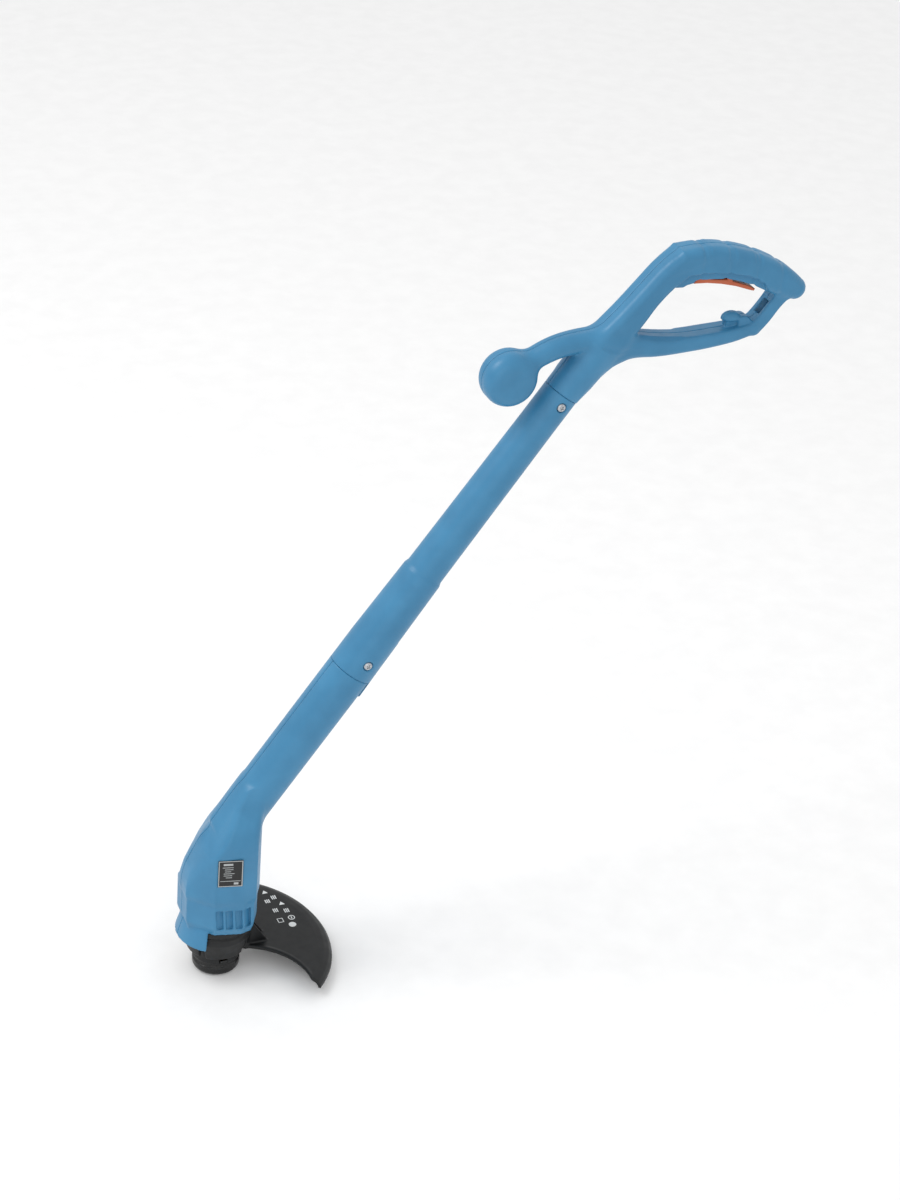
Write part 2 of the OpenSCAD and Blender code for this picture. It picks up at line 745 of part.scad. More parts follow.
module middle_tube() {
    lead = 35;
    color(BLUE) on_shaft(lower_joint_t) difference() {
        rotate_extrude() polygon([
            [bore_low_r, 0], [lower_r, 0], [lower_r, lead], [step_r_low, tube_step_t],
            [step_r_low - tube_step_h, tube_step_t + 4], [upper_r, tube_length - spigot_length],
            [upper_r, tube_length], [bore_top_r, tube_length], [bore_top_r, tube_length - spigot_length - 2],
            [step_r_low - tube_step_h - tube_wall, tube_step_t + 4], [bore_low_r, spigot_length + 2]]);
        translate([0, 0, joint_screw_t]) joint_hole(lower_r, bore_low_r);
        translate([0, 0, tube_length - joint_screw_up]) joint_hole(upper_r, bore_top_r);
    }
}

joint_screw_up = 10;
// A hole across the tube with a flat-bottomed pocket on each side.
module joint_hole(r, bore) {
    rotate([90, 0, 0]) cylinder(r = joint_screw_d / 2 + spigot_gap, h = 3 * r, center = true);
    for (a = [90, -90]) rotate([a, 0, 0]) translate([0, 0, bore + 1.1])
        cylinder(r = joint_head_d / 2 + 0.3, h = r);
}

module joint_screw(bore) {
    seat = bore + 1.1;
    rotate([90, 0, 0]) {
        translate([0, 0, -seat - 2.4]) cylinder(r = joint_screw_d / 2, h = 2 * seat + 2.4);
        difference() {
            translate([0, 0, seat]) cylinder(r = joint_head_d / 2, h = joint_head_h * 0.6);
            for (a = [0, 90]) rotate(a) translate([-2.4, -0.5, seat + 1]) cube([4.8, 1, 3]);
        }
    }
}

module joint_nut(bore) {
    seat = bore + 1.1;
    rotate([-90, 0, 0]) translate([0, 0, seat]) difference() {
        cylinder(r = 4.2, h = 2.2, $fn = 6);
        translate([0, 0, -1]) cylinder(r = joint_screw_d / 2, h = 6);
    }
}

module at_joints() {
    on_shaft(lower_joint_t + joint_screw_t) children(0);
    on_shaft(tube_top_t - joint_screw_up) children(1);
}

module joint_screws() {
    color(STEEL) at_joints() {
        joint_screw(bore_low_r);
        joint_screw(bore_top_r);
    }
}

module joint_nuts() {
    color(STEEL) at_joints() {
        joint_nut(bore_low_r);
        joint_nut(bore_top_r);
    }
}

// ---- handle: its own frame starts at the upper joint, X and Z as in the whole part ----

module on_handle() {
    translate([tube_top_t * dir_x, 0, axis_cross_z + tube_top_t * dir_z]) children();
}

steps = 3;
// Stations are [x, z, half height]. The arm runs from the knob over the shaft to the rear corner.
arm_line = [[-56, 22, 9], [-37, 34, 9.5], [-12, 44, 9.5], [15, 49, 9.5], [42, 49, 11],
            [68, 43, 10.5], [92, 39.5, 8.5], [118, 39.5, 7], [145, 41.5, 6.5], [170, 44, 6], [190, 48, 6]];
neck_line = [[dir_x * 20, dir_z * 20, upper_r - 3], [dir_x * 55 + 3, dir_z * 55 - 2, 16], [60, 71, 14.2],
             [77, 93, 13.2], [94, 112, 15], [112, 118, 17.2], [136, 118.5, 16.5], [163, 114.5, 15.3],
             [190, 105, 15], [214, 92.5, 14], [232, 82.5, 10.5]];
leg_line = [[218, 84, 6], [210, 72, 5.4], [200, 58, 5.4], [192, 48, 6]];
// Gusset between the shaft's underside and the bottom bar.
gusset = [[dir_x * 8 + 10, dir_z * 8 - 9], [23, 5], [34, 16.5], [46, 24], [60, 29.5], [80, 33], [80, 42],
          [40, 50], [20, 30]];
arm_half = 14;
leg_half = 10;
round_step = 4;

module limb(line, half_y, less) {
    side_plate(less - half_y, half_y - less, limb_outline(line, less + round_step * 0.55, steps));
    side_plate(less + round_step - half_y, half_y - less - round_step, limb_outline(line, less, steps));
}

module handle_form(less) {
    limb(arm_line, arm_half, less);
    limb(neck_line, grip_half_width, less);
    limb(leg_line, leg_half, less);
    side_plate(less + 2 - arm_half, arm_half - less - 2, inset(gusset, less));
    cross_bar(232, 82.5, 10.5 - less, less + 2 - grip_half_width, grip_half_width - less - 2);
    cross_bar(191, 48, 6 - less, less - leg_half, leg_half - less);
    front_knob(less);
    rotate([0, 90 - shaft_angle, 0]) translate([0, 0, less]) cylinder(r = upper_r - less, h = 52);
}

knob_x = -56;
knob_z = 22;
// A thick disc whose edge is a half round.
module front_knob(less) {
    edge = front_knob_half - less;
    translate([knob_x, 0, knob_z]) rotate([90, 0, 0]) rotate_extrude() polygon(concat(
        [[0, -edge]],
        [for (a = [-90 : 15 : 90]) [front_knob_r - front_knob_half + edge * cos(a), edge * sin(a)]],
        [[0, edge]]));
}

// The grip's own frame: u along the grip, v up, at the middle of the trigger's length.
grip_x = 163;
grip_z = 114.5;
grip_tilt = 16;
module on_grip() {
    on_handle() translate([grip_x, 0, grip_z]) rotate([0, grip_tilt, 0]) children();
}

handle_bosses = [[-20, 40], [52, 42], [90, 100], [100, 39], [214, 96], [193, 49]];
handle_boss_r = 4;
handle_face_y = 7;

module handle_boss_posts() {
    for (p = handle_bosses) cross_bar(p.x, p.y, handle_boss_r, -20, 20);
    // cheeks that carry the trigger's pin, and a shelf on each side of the switch
    for (s = [-1, 1]) {
        cross_bar(pivot_x, pivot_z, 4, min(s * (slot_half + 0.2), s * 20),
            max(s * (slot_half + 0.2), s * 20));
        side_plate(s > 0 ? switch_half : -20, s > 0 ? 20 : -switch_half,
            [[switch_x, switch_z], [switch_x + switch_l, switch_z], [switch_x + switch_l, switch_z + 5],
             [switch_x, switch_z + 5]]);
    }
}

trigger_half = 6;
pivot_x = 131;
pivot_z = 107;
pin_r = 1.5;
slot_half = trigger_half + slide_gap;
// Opening in the underside of the grip for the trigger's whole swing.
trigger_slot = [[124, 92], [193, 78], [193, 93], [178, 101], [157, 107], [137, 114], [124, 114]];
inlet_u = 74;
inlet_v = -11;
inlet_tilt = 14;
inlet_half_w = 10;
inlet_half_h = 6;
inlet_back = 14;

module inlet_pose() {
    on_grip() translate([inlet_u, 0, inlet_v]) rotate([0, inlet_tilt, 0]) children();
}

module handle_half(side) {
    color(BLUE) {
        difference() {
            on_handle() half(side) union() {
                difference() {
                    handle_form(0);
                    handle_form(wall);
                }
                intersection() {
                    handle_form(wall - 0.5);
                    handle_boss_posts();
                }
                cord_hook();
                handle_spigot();
            }
            handle_cuts();
        }
    }
}

module handle_spigot() {
    rotate([0, 90 - shaft_angle, 0]) translate([0, 0, -spigot_length]) difference() {
        cylinder(r = upper_spigot_r, h = spigot_length + wall + 1);
        translate([0, 0, -1]) cylinder(r = upper_spigot_r - wall, h = spigot_length + wall + 3);
        translate([0, 0, spigot_length - joint_screw_up]) rotate([90, 0, 0])
            cylinder(r = joint_screw_d / 2 + spigot_gap, h = 60, center = true);
    }
}

// Mushroom-shaped cord hook on the bottom bar, and the shoulder behind it.
module cord_hook() {
    side_plate(-4.8, 4.8, [[159, 44], [175, 44], [175, 56.5], [159, 56.5]]);
    side_plate(-8, 8, [[155.2, 57.5], [155.6, 56], [177, 56], [177.4, 60], [174, 63], [168, 64.2],
        [162, 63.2], [157.5, 60.5]]);
    side_plate(-9, 9, [[176, 46], [190, 46], [190, 52.5], [188.5, 58], [185, 62], [180.5, 64.1], [176, 64.3]]);
}

module handle_cuts() {
    on_handle() {
        rotate([0, 90 - shaft_angle, 0]) translate([0, 0, -1]) cylinder(r = upper_spigot_r - wall, h = 40);
        for (p = handle_bosses) {
            cross_bar(p.x, p.y, screw_d / 2, -7, handle_face_y + 1);
            cross_bar(p.x, p.y, screw_head_d / 2 + 0.3, handle_face_y, 60);
        }
        // slot through the rear leg for a loop of cord
        translate([204, 0, 64]) rotate([0, 38, 0]) cube([30, 9, 15], center = true);
    }
    on_handle() {
        side_plate(-slot_half, slot_half, trigger_slot);
        cross_bar(pivot_x, pivot_z, pin_r, -pin_half, pin_half);
    }
    inlet_pose() translate([-inlet_back - 0.3, -inlet_half_w, -inlet_half_h])
        cube([50, 2 * inlet_half_w, 2 * inlet_half_h]);
}

module handle_left() { handle_half(-1); }
module handle_right() { handle_half(1); }

module handle_screws() {
    color(STEEL) on_handle() for (p = handle_bosses) side_screw(p.x, p.y, handle_face_y, 13);
}

// ---- switch gear ----

switch_x = 147;
switch_l = 31;
switch_z = 107.5;
switch_h = 11.5;
switch_half = 8;
plunger_x = 160;
plunger_half = 3;
plunger_foot_z = 103.4;
trigger_spring_x = 172;
trigger_spring_z = 95.6;

// The trigger's outline; its thin finger strip follows the underside of the grip.
trigger_side = [
    [126.5, 98.4], [138, 97.6], [151, 96.6], [165, 93.4], [179, 88.4], [187, 85.2], [188.4, 87.6],
    [180, 92], [166, 97], [plunger_x + plunger_half, 97.8],
    [plunger_x + plunger_half, plunger_foot_z - 0.1 - 2 * plunger_half * sin(trigger_travel)],
    [plunger_x - plunger_half, plunger_foot_z - 0.1], [plunger_x - plunger_half, 99.8], [140, 101.6],
    [135, 108], [131, 111], [127, 108.6]
];

module trigger() {
    color("#c06a45") on_handle() difference() {
        side_plate(-trigger_half, trigger_half, trigger_side);
        cross_bar(pivot_x, pivot_z, pin_r + running_gap, -20, 20);
    }
}

pin_half = trigger_half + 2.2;
module trigger_pin() {
    color(STEEL) on_handle() cross_bar(pivot_x, pivot_z, pin_r, -pin_half, pin_half);
}

module trigger_spring() {
    color(STEEL) on_handle() translate([trigger_spring_x, 0, trigger_spring_z])
        coil_spring(2.4, 0.4, switch_z - 0.1 - trigger_spring_z, 4);
}

module switch_body() {
    gap = slide_gap / 2;
    color("#2d3033") on_handle() difference() {
        translate([switch_x, -switch_half, switch_z]) cube([switch_l, 2 * switch_half, switch_h]);
        translate([plunger_x - plunger_half - gap, -plunger_half - gap, switch_z - 1])
            cube([2 * (plunger_half + gap), 2 * (plunger_half + gap), 8.5]);
    }
}

module switch_plunger() {
    color("#e8e4da") on_handle() translate([plunger_x - plunger_half, -plunger_half, plunger_foot_z])
        cube([2 * plunger_half, 2 * plunger_half, 7.4]);
}

module capacitor() {
    color("#d9b23c") on_handle() translate([185, -4.5, 104]) rotate([0, grip_tilt + 8, 0])
        cube([18, 9, 10]);
}

module power_inlet() {
    color(BLACK) inlet_pose() difference() {
        translate([-inlet_back, 0.3 - inlet_half_w, 0.3 - inlet_half_h])
            cube([21, 2 * inlet_half_w - 0.6, 2 * inlet_half_h - 0.6]);
        translate([-4, 2 - inlet_half_w, 2 - inlet_half_h])
            cube([30, 2 * inlet_half_w - 4, 2 * inlet_half_h - 4]);
        for (y = [-4, 4]) translate([-20, y, 0]) rotate([0, 90, 0]) cylinder(r = 1.2, h = 20);
    }
}

module inlet_pins() {
    color(STEEL) inlet_pose() for (y = [-4, 4]) translate([-15, y, 0]) rotate([0, 90, 0]) {
        cylinder(r = 1.2, h = 19);
    }
}

// ---- internal lead, held all the way from the switch to the motor ----

lead_r = 3;
// The lead passes the joint screws on the upper side of the shaft's axis.
lead_aside = [-dir_z * 7, dir_x * 7];
lead_low = [[0, block_top_z], [0, block_top_z + 5], [5, block_top_z + 14],
            [dir_x * 60, axis_cross_z + dir_z * 60] + lead_aside];
lead_high = [[dir_x * 50, dir_z * 50] + lead_aside, [56, 66], [84, 108], [108, 119], [128, 119], [switch_x, 116]];

module inner_lead() {
    joint = [tube_top_t * dir_x, axis_cross_z + tube_top_t * dir_z];
    route = concat(lead_low, [for (p = lead_high) p + joint]);
    color("#2a2c30") sweep([for (p = route) [p.x, 0, p.y]], [for (p = route) [0, 1, 0]], lead_r, 10);
}

clamp_t = 3;
module clamp_pose() {
    on_handle() translate([70, 0, 87]) rotate([0, 90 - 56, 0]) children();
}

module lead_clamp() {
    color("#3a3e42") clamp_pose() translate([3.4, -9, -4]) cube([clamp_t, 18, 8]);
}

module clamp_screws() {
    color(STEEL) clamp_pose() for (y = [-6, 6]) translate([3.4 + clamp_t, y, 0]) rotate([0, 90, 0])
        cylinder(r = 2.6, h = 1.8);
}

housing_left();
housing_right();
housing_screws();
rating_label();
stator_core();
field_coils();
brush_bridge();
brush_holders();
carbon_brushes();
upper_bearing();
lower_bearing();
bearing_plate();
terminal_block();
motor_shaft();
armature_core();
armature_windings();
commutator();
cooling_fan();
spool_hub();
line_eyelets();
bump_spring();
bump_knob();
line_spool();
nylon_line();
guard();
guard_screws();
line_cutter();
cutter_screws();
middle_tube();
joint_screws();
joint_nuts();
handle_left();
handle_right();
handle_screws();
trigger();
trigger_pin();
trigger_spring();
switch_body();
switch_plunger();
capacitor();
power_inlet();
inlet_pins();
inner_lead();
lead_clamp();
clamp_screws();
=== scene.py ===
"""A corded string trimmer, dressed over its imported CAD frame."""
import math

import bpy
import numpy as np
from mathutils import Matrix, Vector


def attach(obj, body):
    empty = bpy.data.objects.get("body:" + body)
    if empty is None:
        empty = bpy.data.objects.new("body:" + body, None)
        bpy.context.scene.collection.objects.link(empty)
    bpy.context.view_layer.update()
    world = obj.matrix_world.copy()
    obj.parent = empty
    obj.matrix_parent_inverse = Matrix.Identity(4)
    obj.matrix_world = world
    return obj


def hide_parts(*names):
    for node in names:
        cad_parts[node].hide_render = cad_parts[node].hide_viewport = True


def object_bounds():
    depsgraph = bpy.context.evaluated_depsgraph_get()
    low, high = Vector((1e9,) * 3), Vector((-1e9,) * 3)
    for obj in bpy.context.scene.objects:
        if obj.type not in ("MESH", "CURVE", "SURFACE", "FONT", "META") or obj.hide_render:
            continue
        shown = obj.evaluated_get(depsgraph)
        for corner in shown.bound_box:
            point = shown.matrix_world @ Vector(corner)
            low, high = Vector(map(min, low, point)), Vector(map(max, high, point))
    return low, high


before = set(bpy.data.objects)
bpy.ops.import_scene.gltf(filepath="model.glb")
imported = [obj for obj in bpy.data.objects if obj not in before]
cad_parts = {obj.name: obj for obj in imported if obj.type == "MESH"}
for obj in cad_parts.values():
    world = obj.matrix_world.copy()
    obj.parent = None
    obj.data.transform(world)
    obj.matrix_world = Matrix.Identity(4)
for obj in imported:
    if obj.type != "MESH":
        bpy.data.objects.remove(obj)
cad_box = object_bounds()
MM = 0.001
scene = bpy.context.scene


def mm(corner):
    """A corner from the frame, in millimetres."""
    return np.array(corner, float) / MM


# ---- camera ----

AZIMUTH, ELEVATION, ROLL = -25.0, 31.0, 5.0
VIEW_DISTANCE = 2550
# The aim lies a little to the left of, behind and below the middle of the whole object.
AIM = mm((cad_box[0] + cad_box[1]) / 2) + np.array([-11, 46, -15])


def aim_camera():
    a, e, roll = (math.radians(v) for v in (AZIMUTH, ELEVATION, ROLL))
    back = Vector((math.sin(a) * math.cos(e), -math.cos(a) * math.cos(e), math.sin(e)))
    right = Vector((math.cos(a), math.sin(a), 0))
    up = back.cross(right)
    right, up = math.cos(roll) * right + math.sin(roll) * up, math.cos(roll) * up - math.sin(roll) * right
    data = bpy.data.cameras.new("camera")
    data.sensor_fit = "AUTO"
    data.sensor_width = 36
    data.lens = 78
    data.clip_end = 50
    camera = bpy.data.objects.new("camera", data)
    scene.collection.objects.link(camera)
    place = Vector(AIM) * MM + back * VIEW_DISTANCE * MM
    turn = Matrix((right, up, back)).transposed().to_4x4()
    camera.matrix_world = Matrix.Translation(place) @ turn
    scene.camera = camera


aim_camera()

# ---- materials ----


def linear(code):
    """An sRGB hex colour as linear RGBA."""
    parts = [int(code[i:i + 2], 16) / 255 for i in (1, 3, 5)]
    return [c / 12.92 if c <= 0.04045 else ((c + 0.055) / 1.055) ** 2.4 for c in parts] + [1]


def put(tree, kind, settings=None, links=None):
    """Adds a node; a setting is an attribute or an input, a link is input: output socket."""
    made = tree.nodes.new(kind)
    for key, value in (settings or {}).items():
        if isinstance(key, str) and hasattr(made, key):
            setattr(made, key, value)
        else:
            made.inputs[key].default_value = value
    for key, source in (links or {}).items():
        tree.links.new(source, made.inputs[key])
    return made


def new_material(name, uniform):
    """A material with its surface shader; uniform holds the values that are the same all over."""
    made = bpy.data.materials.new(name)
    made.use_nodes = True
    tree = made.node_tree
    tree.nodes.clear()
    shader = put(tree, "ShaderNodeBsdfPrincipled", uniform)
    put(tree, "ShaderNodeOutputMaterial", links={"Surface": shader.outputs["BSDF"]})
    return made, tree, shader


def grain(tree, size, detail=2.0, stretch=(1, 1, 1)):
    """Noise whose blotches are about size millimetres across."""
    place = put(tree, "ShaderNodeTexCoord").outputs["Object"]
    scaled = put(tree, "ShaderNodeMapping", {"Scale": stretch}, {"Vector": place})
    noise = put(tree, "ShaderNodeTexNoise", {"Scale": 1 / (size * MM), "Detail": detail, "Roughness": 0.55},
                {"Vector": scaled.outputs["Vector"]})
    return noise.outputs["Fac"]


def spread(tree, source, low, high, start=0.3, end=0.7):
    """Maps a noise between two numbers."""
    return put(tree, "ShaderNodeMapRange",
               {"From Min": start, "From Max": end, "To Min": low, "To Max": high},
               {"Value": source}).outputs["Result"]


def mottle(tree, source, dark, light, start=0.35, end=0.65):
    """Maps a noise between two colours."""
    ramp = put(tree, "ShaderNodeValToRGB", links={"Fac": source})
    for stop, place, code in zip(ramp.color_ramp.elements, (start, end), (dark, light)):
        stop.position, stop.color = place, linear(code)
    return ramp.outputs["Color"]


def bump(tree, shader, source, depth, strength=1.0):
    """Raises the surface by depth millimetres where source is high."""
    made = put(tree, "ShaderNodeBump", {"Distance": depth * MM, "Strength": strength}, {"Height": source})
    tree.links.new(made.outputs["Normal"], shader.inputs["Normal"])


def moulded(name, dark, light, rough, spark, depth, uniform=None):
    """Injection-moulded plastic: faint flow clouding and the fine spark-eroded grain of its mould."""
    made, tree, shader = new_material(name, {"IOR": 1.49, **(uniform or {})})
    cloud = grain(tree, 38, 3)
    tree.links.new(mottle(tree, cloud, dark, light), shader.inputs["Base Color"])
    tree.links.new(spread(tree, grain(tree, 9, 3), *rough), shader.inputs["Roughness"])
    bump(tree, shader, grain(tree, spark, 2), depth)
    return made


def metal(name, dark, light, rough, scratch, stretch, uniform=None, depth=0.004):
    """Bare or plated metal with fine marks from how it was drawn, ground or rolled."""
    made, tree, shader = new_material(name, {"Metallic": 1.0, **(uniform or {})})
    marks = grain(tree, scratch, 3, stretch)
    tree.links.new(mottle(tree, marks, dark, light), shader.inputs["Base Color"])
    tree.links.new(spread(tree, marks, *rough), shader.inputs["Roughness"])
    bump(tree, shader, marks, depth)
    return made


def ridged(name, dark, light, pitch, rough, axis, uniform=None, depth=0.12):
    """Stacked sheets or wound strands: bands of one pitch in millimetres along an axis."""
    made, tree, shader = new_material(name, uniform or {})
    place = put(tree, "ShaderNodeTexCoord").outputs["Object"]
    # a wave of scale 1 repeats every 2 pi / 20 of a unit
    wave = put(tree, "ShaderNodeTexWave",
               {"wave_type": "BANDS", "bands_direction": axis, "Scale": math.pi / (10 * pitch * MM),
                "Distortion": 0.4, "Detail": 1.0}, {"Vector": place}).outputs["Fac"]
    tree.links.new(mottle(tree, wave, dark, light, 0.2, 0.8), shader.inputs["Base Color"])
    tree.links.new(spread(tree, grain(tree, 3), *rough), shader.inputs["Roughness"])
    bump(tree, shader, wave, depth)
    return made


# Polypropylene, moulded in a fine spark-eroded tool: satin, with a soft wide highlight. The real
# grain of about 0.1 mm is drawn at 0.9 mm so that it shows.
blue_polypropylene = moulded("blue_polypropylene", "#33779F", "#3A80A9", (0.36, 0.46), 0.9, 0.018)
# Polypropylene, carbon black: a little duller than the blue, with the same grain.
black_polypropylene = moulded("black_polypropylene", "#090B0D", "#0E1113", (0.42, 0.54), 0.9, 0.02,
                               {"Specular IOR Level": 0.4})
# Glass-filled nylon moulded black in a polished tool: glossy, and scuffed finely where it is tapped.
glossy_nylon = moulded("glossy_nylon", "#040506", "#08090A", (0.20, 0.32), 1.6, 0.008)
# Glass-filled nylon for the inner mouldings: dull charcoal with a coarse fibre print.
filled_nylon = moulded("glass_filled_nylon", "#26292B", "#323639", (0.5, 0.62), 1.2, 0.03)
# ABS moulded orange: satin with a slight burnish where the finger rubs it.
orange_abs = moulded("orange_abs", "#AE5230", "#BC5F3A", (0.34, 0.46), 1.0, 0.014)
# Polycarbonate label film with a satin face, printed black.
label_film = moulded("printed_label_film", "#08090A", "#0F1011", (0.30, 0.38), 2.0, 0.004)
# Silver ink: dull metal flake, with no brightness of its own.
silver_ink = moulded("silver_ink", "#9A9E9F", "#B4B8B9", (0.38, 0.5), 0.8, 0.004)
# White pad-printing ink on the guard: chalky and slightly broken.
white_ink = moulded("white_pad_print", "#C9CCCC", "#DCDEDE", (0.55, 0.7), 0.7, 0.01)
# Melamine terminal block: off white and hard.
pale_melamine = moulded("pale_melamine", "#CFCABD", "#DAD6CA", (0.3, 0.42), 1.5, 0.006)
# Epoxy-dipped film capacitor: thick ochre gloss.
ochre_epoxy = moulded("ochre_epoxy", "#B98A2C", "#C79A3A", (0.12, 0.2), 4.0, 0.03)
# PVC cable sheath: matt black with talc.
pvc_sheath = moulded("pvc_sheath", "#1C1D1E", "#252728", (0.6, 0.72), 2.0, 0.02)
# Phenolic board of the brush holders: brown, with a paper grain.
brown_phenolic = moulded("brown_phenolic", "#4B3726", "#5C4631", (0.42, 0.55), 1.4, 0.02)
# Pressed carbon: soft dark grey, no gloss, fine specks.
pressed_carbon = moulded("pressed_carbon", "#1F2022", "#2C2D2F", (0.6, 0.75), 0.6, 0.02)
# Zinc plate over steel: cool, bright and slightly cloudy.
zinc_plate = metal("zinc_plated_steel", "#A9ADB2", "#C9CCCF", (0.22, 0.38), 1.2, (1, 1, 1))
# Ground steel: fine marks round the axis, so the noise is squashed along Z.
ground_steel = metal("ground_steel", "#9EA1A4", "#B9BCBE", (0.18, 0.3), 0.9, (0.3, 0.3, 3))
# Hard-drawn spring wire: darker and smoother.
spring_wire = metal("spring_wire", "#85888B", "#9EA1A4", (0.2, 0.3), 0.6, (1, 1, 0.3))
# Turned brass-toned copper of the commutator bars, dulled by the brushes.
turned_copper = metal("turned_copper", "#9A6038", "#B8774A", (0.25, 0.4), 0.7, (0.3, 0.3, 3))
# Electrical steel sheets 0.5 mm thick, drawn at 1 mm so that the stack shows.
lamination_stack = ridged("lamination_stack", "#5D6063", "#8A8D90", 1.0, (0.35, 0.5), "Z", {"Metallic": 1.0})
# Enamelled copper wire 0.5 mm thick, drawn at 1 mm: amber varnish over copper.
enamelled_wire = ridged("enamelled_wire", "#7C4522", "#B9713A", 1.0, (0.22, 0.32), "Z",
                        {"Metallic": 0.85, "Coat Weight": 0.4, "Coat Roughness": 0.15})
# Nylon monofilament: amber, waxy and a little clear.
nylon_filament = moulded("nylon_filament", "#C47A2C", "#D48C3C", (0.24, 0.32), 3.0, 0.01,
                         {"Subsurface Weight": 0.15, "Subsurface Radius": (0.002, 0.001, 0.0005)})

CAD_FINISH = {
    zinc_plate: ["housing_screws", "guard_screws", "cutter_screws", "joint_screws", "joint_nuts",
                 "handle_screws", "clamp_screws"],
    ground_steel: ["motor_shaft", "upper_bearing", "lower_bearing", "trigger_pin", "line_cutter",
                   "line_eyelets", "inlet_pins"],
    spring_wire: ["trigger_spring", "bump_spring"],
    lamination_stack: ["stator_core", "armature_core"],
    enamelled_wire: ["field_coils", "armature_windings"],
    turned_copper: ["commutator"],
    filled_nylon: ["brush_bridge", "bearing_plate", "cooling_fan", "line_spool", "lead_clamp",
                   "switch_body"],
    brown_phenolic: ["brush_holders"],
    pressed_carbon: ["carbon_brushes"],
    pale_melamine: ["terminal_block", "switch_plunger"],
    ochre_epoxy: ["capacitor"],
    pvc_sheath: ["inner_lead"],
    nylon_filament: ["nylon_line"],
    black_polypropylene: ["spool_hub", "power_inlet", "guard"],
    glossy_nylon: ["bump_knob"],
    orange_abs: ["trigger"],
    label_film: ["rating_label"],
    blue_polypropylene: ["housing_left", "housing_right", "middle_tube", "handle_left", "handle_right"],
}


def finish(piece, material):
    """Gives every face of a piece one material."""
    piece.data.materials.clear()
    piece.data.materials.append(material)


for material, names in CAD_FINISH.items():
    for name in names:
        finish(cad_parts[name], material)

# ---- shapes as distance fields, in millimetres: negative inside, zero on the surface ----


def smaller(a, b, blend):
    """The union of two shapes, with a fillet about as wide as blend."""
    gap = np.maximum(blend - np.abs(a - b), 0) / blend
    return np.minimum(a, b) - gap * gap * blend / 4


def larger(a, b, blend):
    """The overlap of two shapes, with its edges rounded."""
    return -smaller(-a, -b, blend)


def cut(shape, tool, blend):
    """A shape with a tool cut out of it."""
    return larger(shape, -tool, blend)


def smooth_line(stations, steps=6):
    """A smooth curve through stations of any length."""
    p = np.array(stations, float)
    ends = np.vstack([p[:1], p, p[-1:]])
    out = []
    for i in range(len(p) - 1):
        a, b, c, d = ends[i:i + 4]
        for t in np.arange(steps) / steps:
            out.append(0.5 * (2 * b + (c - a) * t + (2 * a - 5 * b + 4 * c - d) * t * t
                              + (3 * b - a - 3 * c + d) * t ** 3))
    return np.array(out + [p[-1]])


def limb(line, u, v):
    """In-plane distance to a limb with stations (u, v, half height, half width), and its half width."""
    best = wide = tall = None
    for a, b in zip(line[:-1], line[1:]):
        e = b[:2] - a[:2]
        t = np.clip(((u - a[0]) * e[0] + (v - a[1]) * e[1]) / max(e @ e, 1e-9), 0, 1)
        high = a[2] + (b[2] - a[2]) * t
        d = np.hypot(u - a[0] - t * e[0], v - a[1] - t * e[1]) - high
        w = a[3] + (b[3] - a[3]) * t
        if best is None:
            best, wide, tall = d, w, high
        else:
            nearer = d < best
            best, wide, tall = (np.where(nearer, x, y) for x, y in ((d, best), (w, wide), (high, tall)))
    return best, wide, tall


def polygon(points, u, v):
    """In-plane distance to a closed outline."""
    p = np.array(points, float)
    best, inside = None, None
    for a, b in zip(p, np.roll(p, -1, 0)):
        e, wu, wv = b - a, u - a[0], v - a[1]
        t = np.clip((wu * e[0] + wv * e[1]) / max(e @ e, 1e-9), 0, 1)
        d = np.hypot(wu - t * e[0], wv - t * e[1])
        above = (a[1] > v) != (b[1] > v)
        crossing = above & (u < a[0] + e[0] * (v - a[1]) / (e[1] if abs(e[1]) > 1e-9 else 1e-9))
        best = d if best is None else np.minimum(best, d)
        inside = crossing if inside is None else inside ^ crossing
    return np.where(inside, -best, best)


def thick(flat, w, half, rounding):
    """A flat shape made thick to +-half along w, with rounded edges."""
    x, y = flat + rounding, np.abs(w) - half + rounding
    return np.hypot(np.maximum(x, 0), np.maximum(y, 0)) + np.minimum(np.maximum(x, y), 0) - rounding


def oval(x, y, z, rx, ry, rz):
    """An ellipsoid at the origin."""
    a = np.sqrt((x / rx) ** 2 + (y / ry) ** 2 + (z / rz) ** 2)
    b = np.sqrt((x / rx ** 2) ** 2 + (y / ry ** 2) ** 2 + (z / rz ** 2) ** 2)
    return a * (a - 1) / np.maximum(b, 1e-6)


def block(x, y, z, hx, hy, hz, rounding=0.5):
    """A box at the origin with rounded edges."""
    q = [np.abs(c) - h + rounding for c, h in ((x, hx), (y, hy), (z, hz))]
    out = np.sqrt(sum(np.maximum(c, 0) ** 2 for c in q))
    return out + np.minimum(np.maximum(np.maximum(q[0], q[1]), q[2]), 0) - rounding


CORNERS = [(i, j, k) for i in (0, 1) for j in (0, 1) for k in (0, 1)]
EDGES = [(a, b) for a in range(8) for b in range(a + 1, 8)
         if sum(abs(p - q) for p, q in zip(CORNERS[a], CORNERS[b])) == 1]


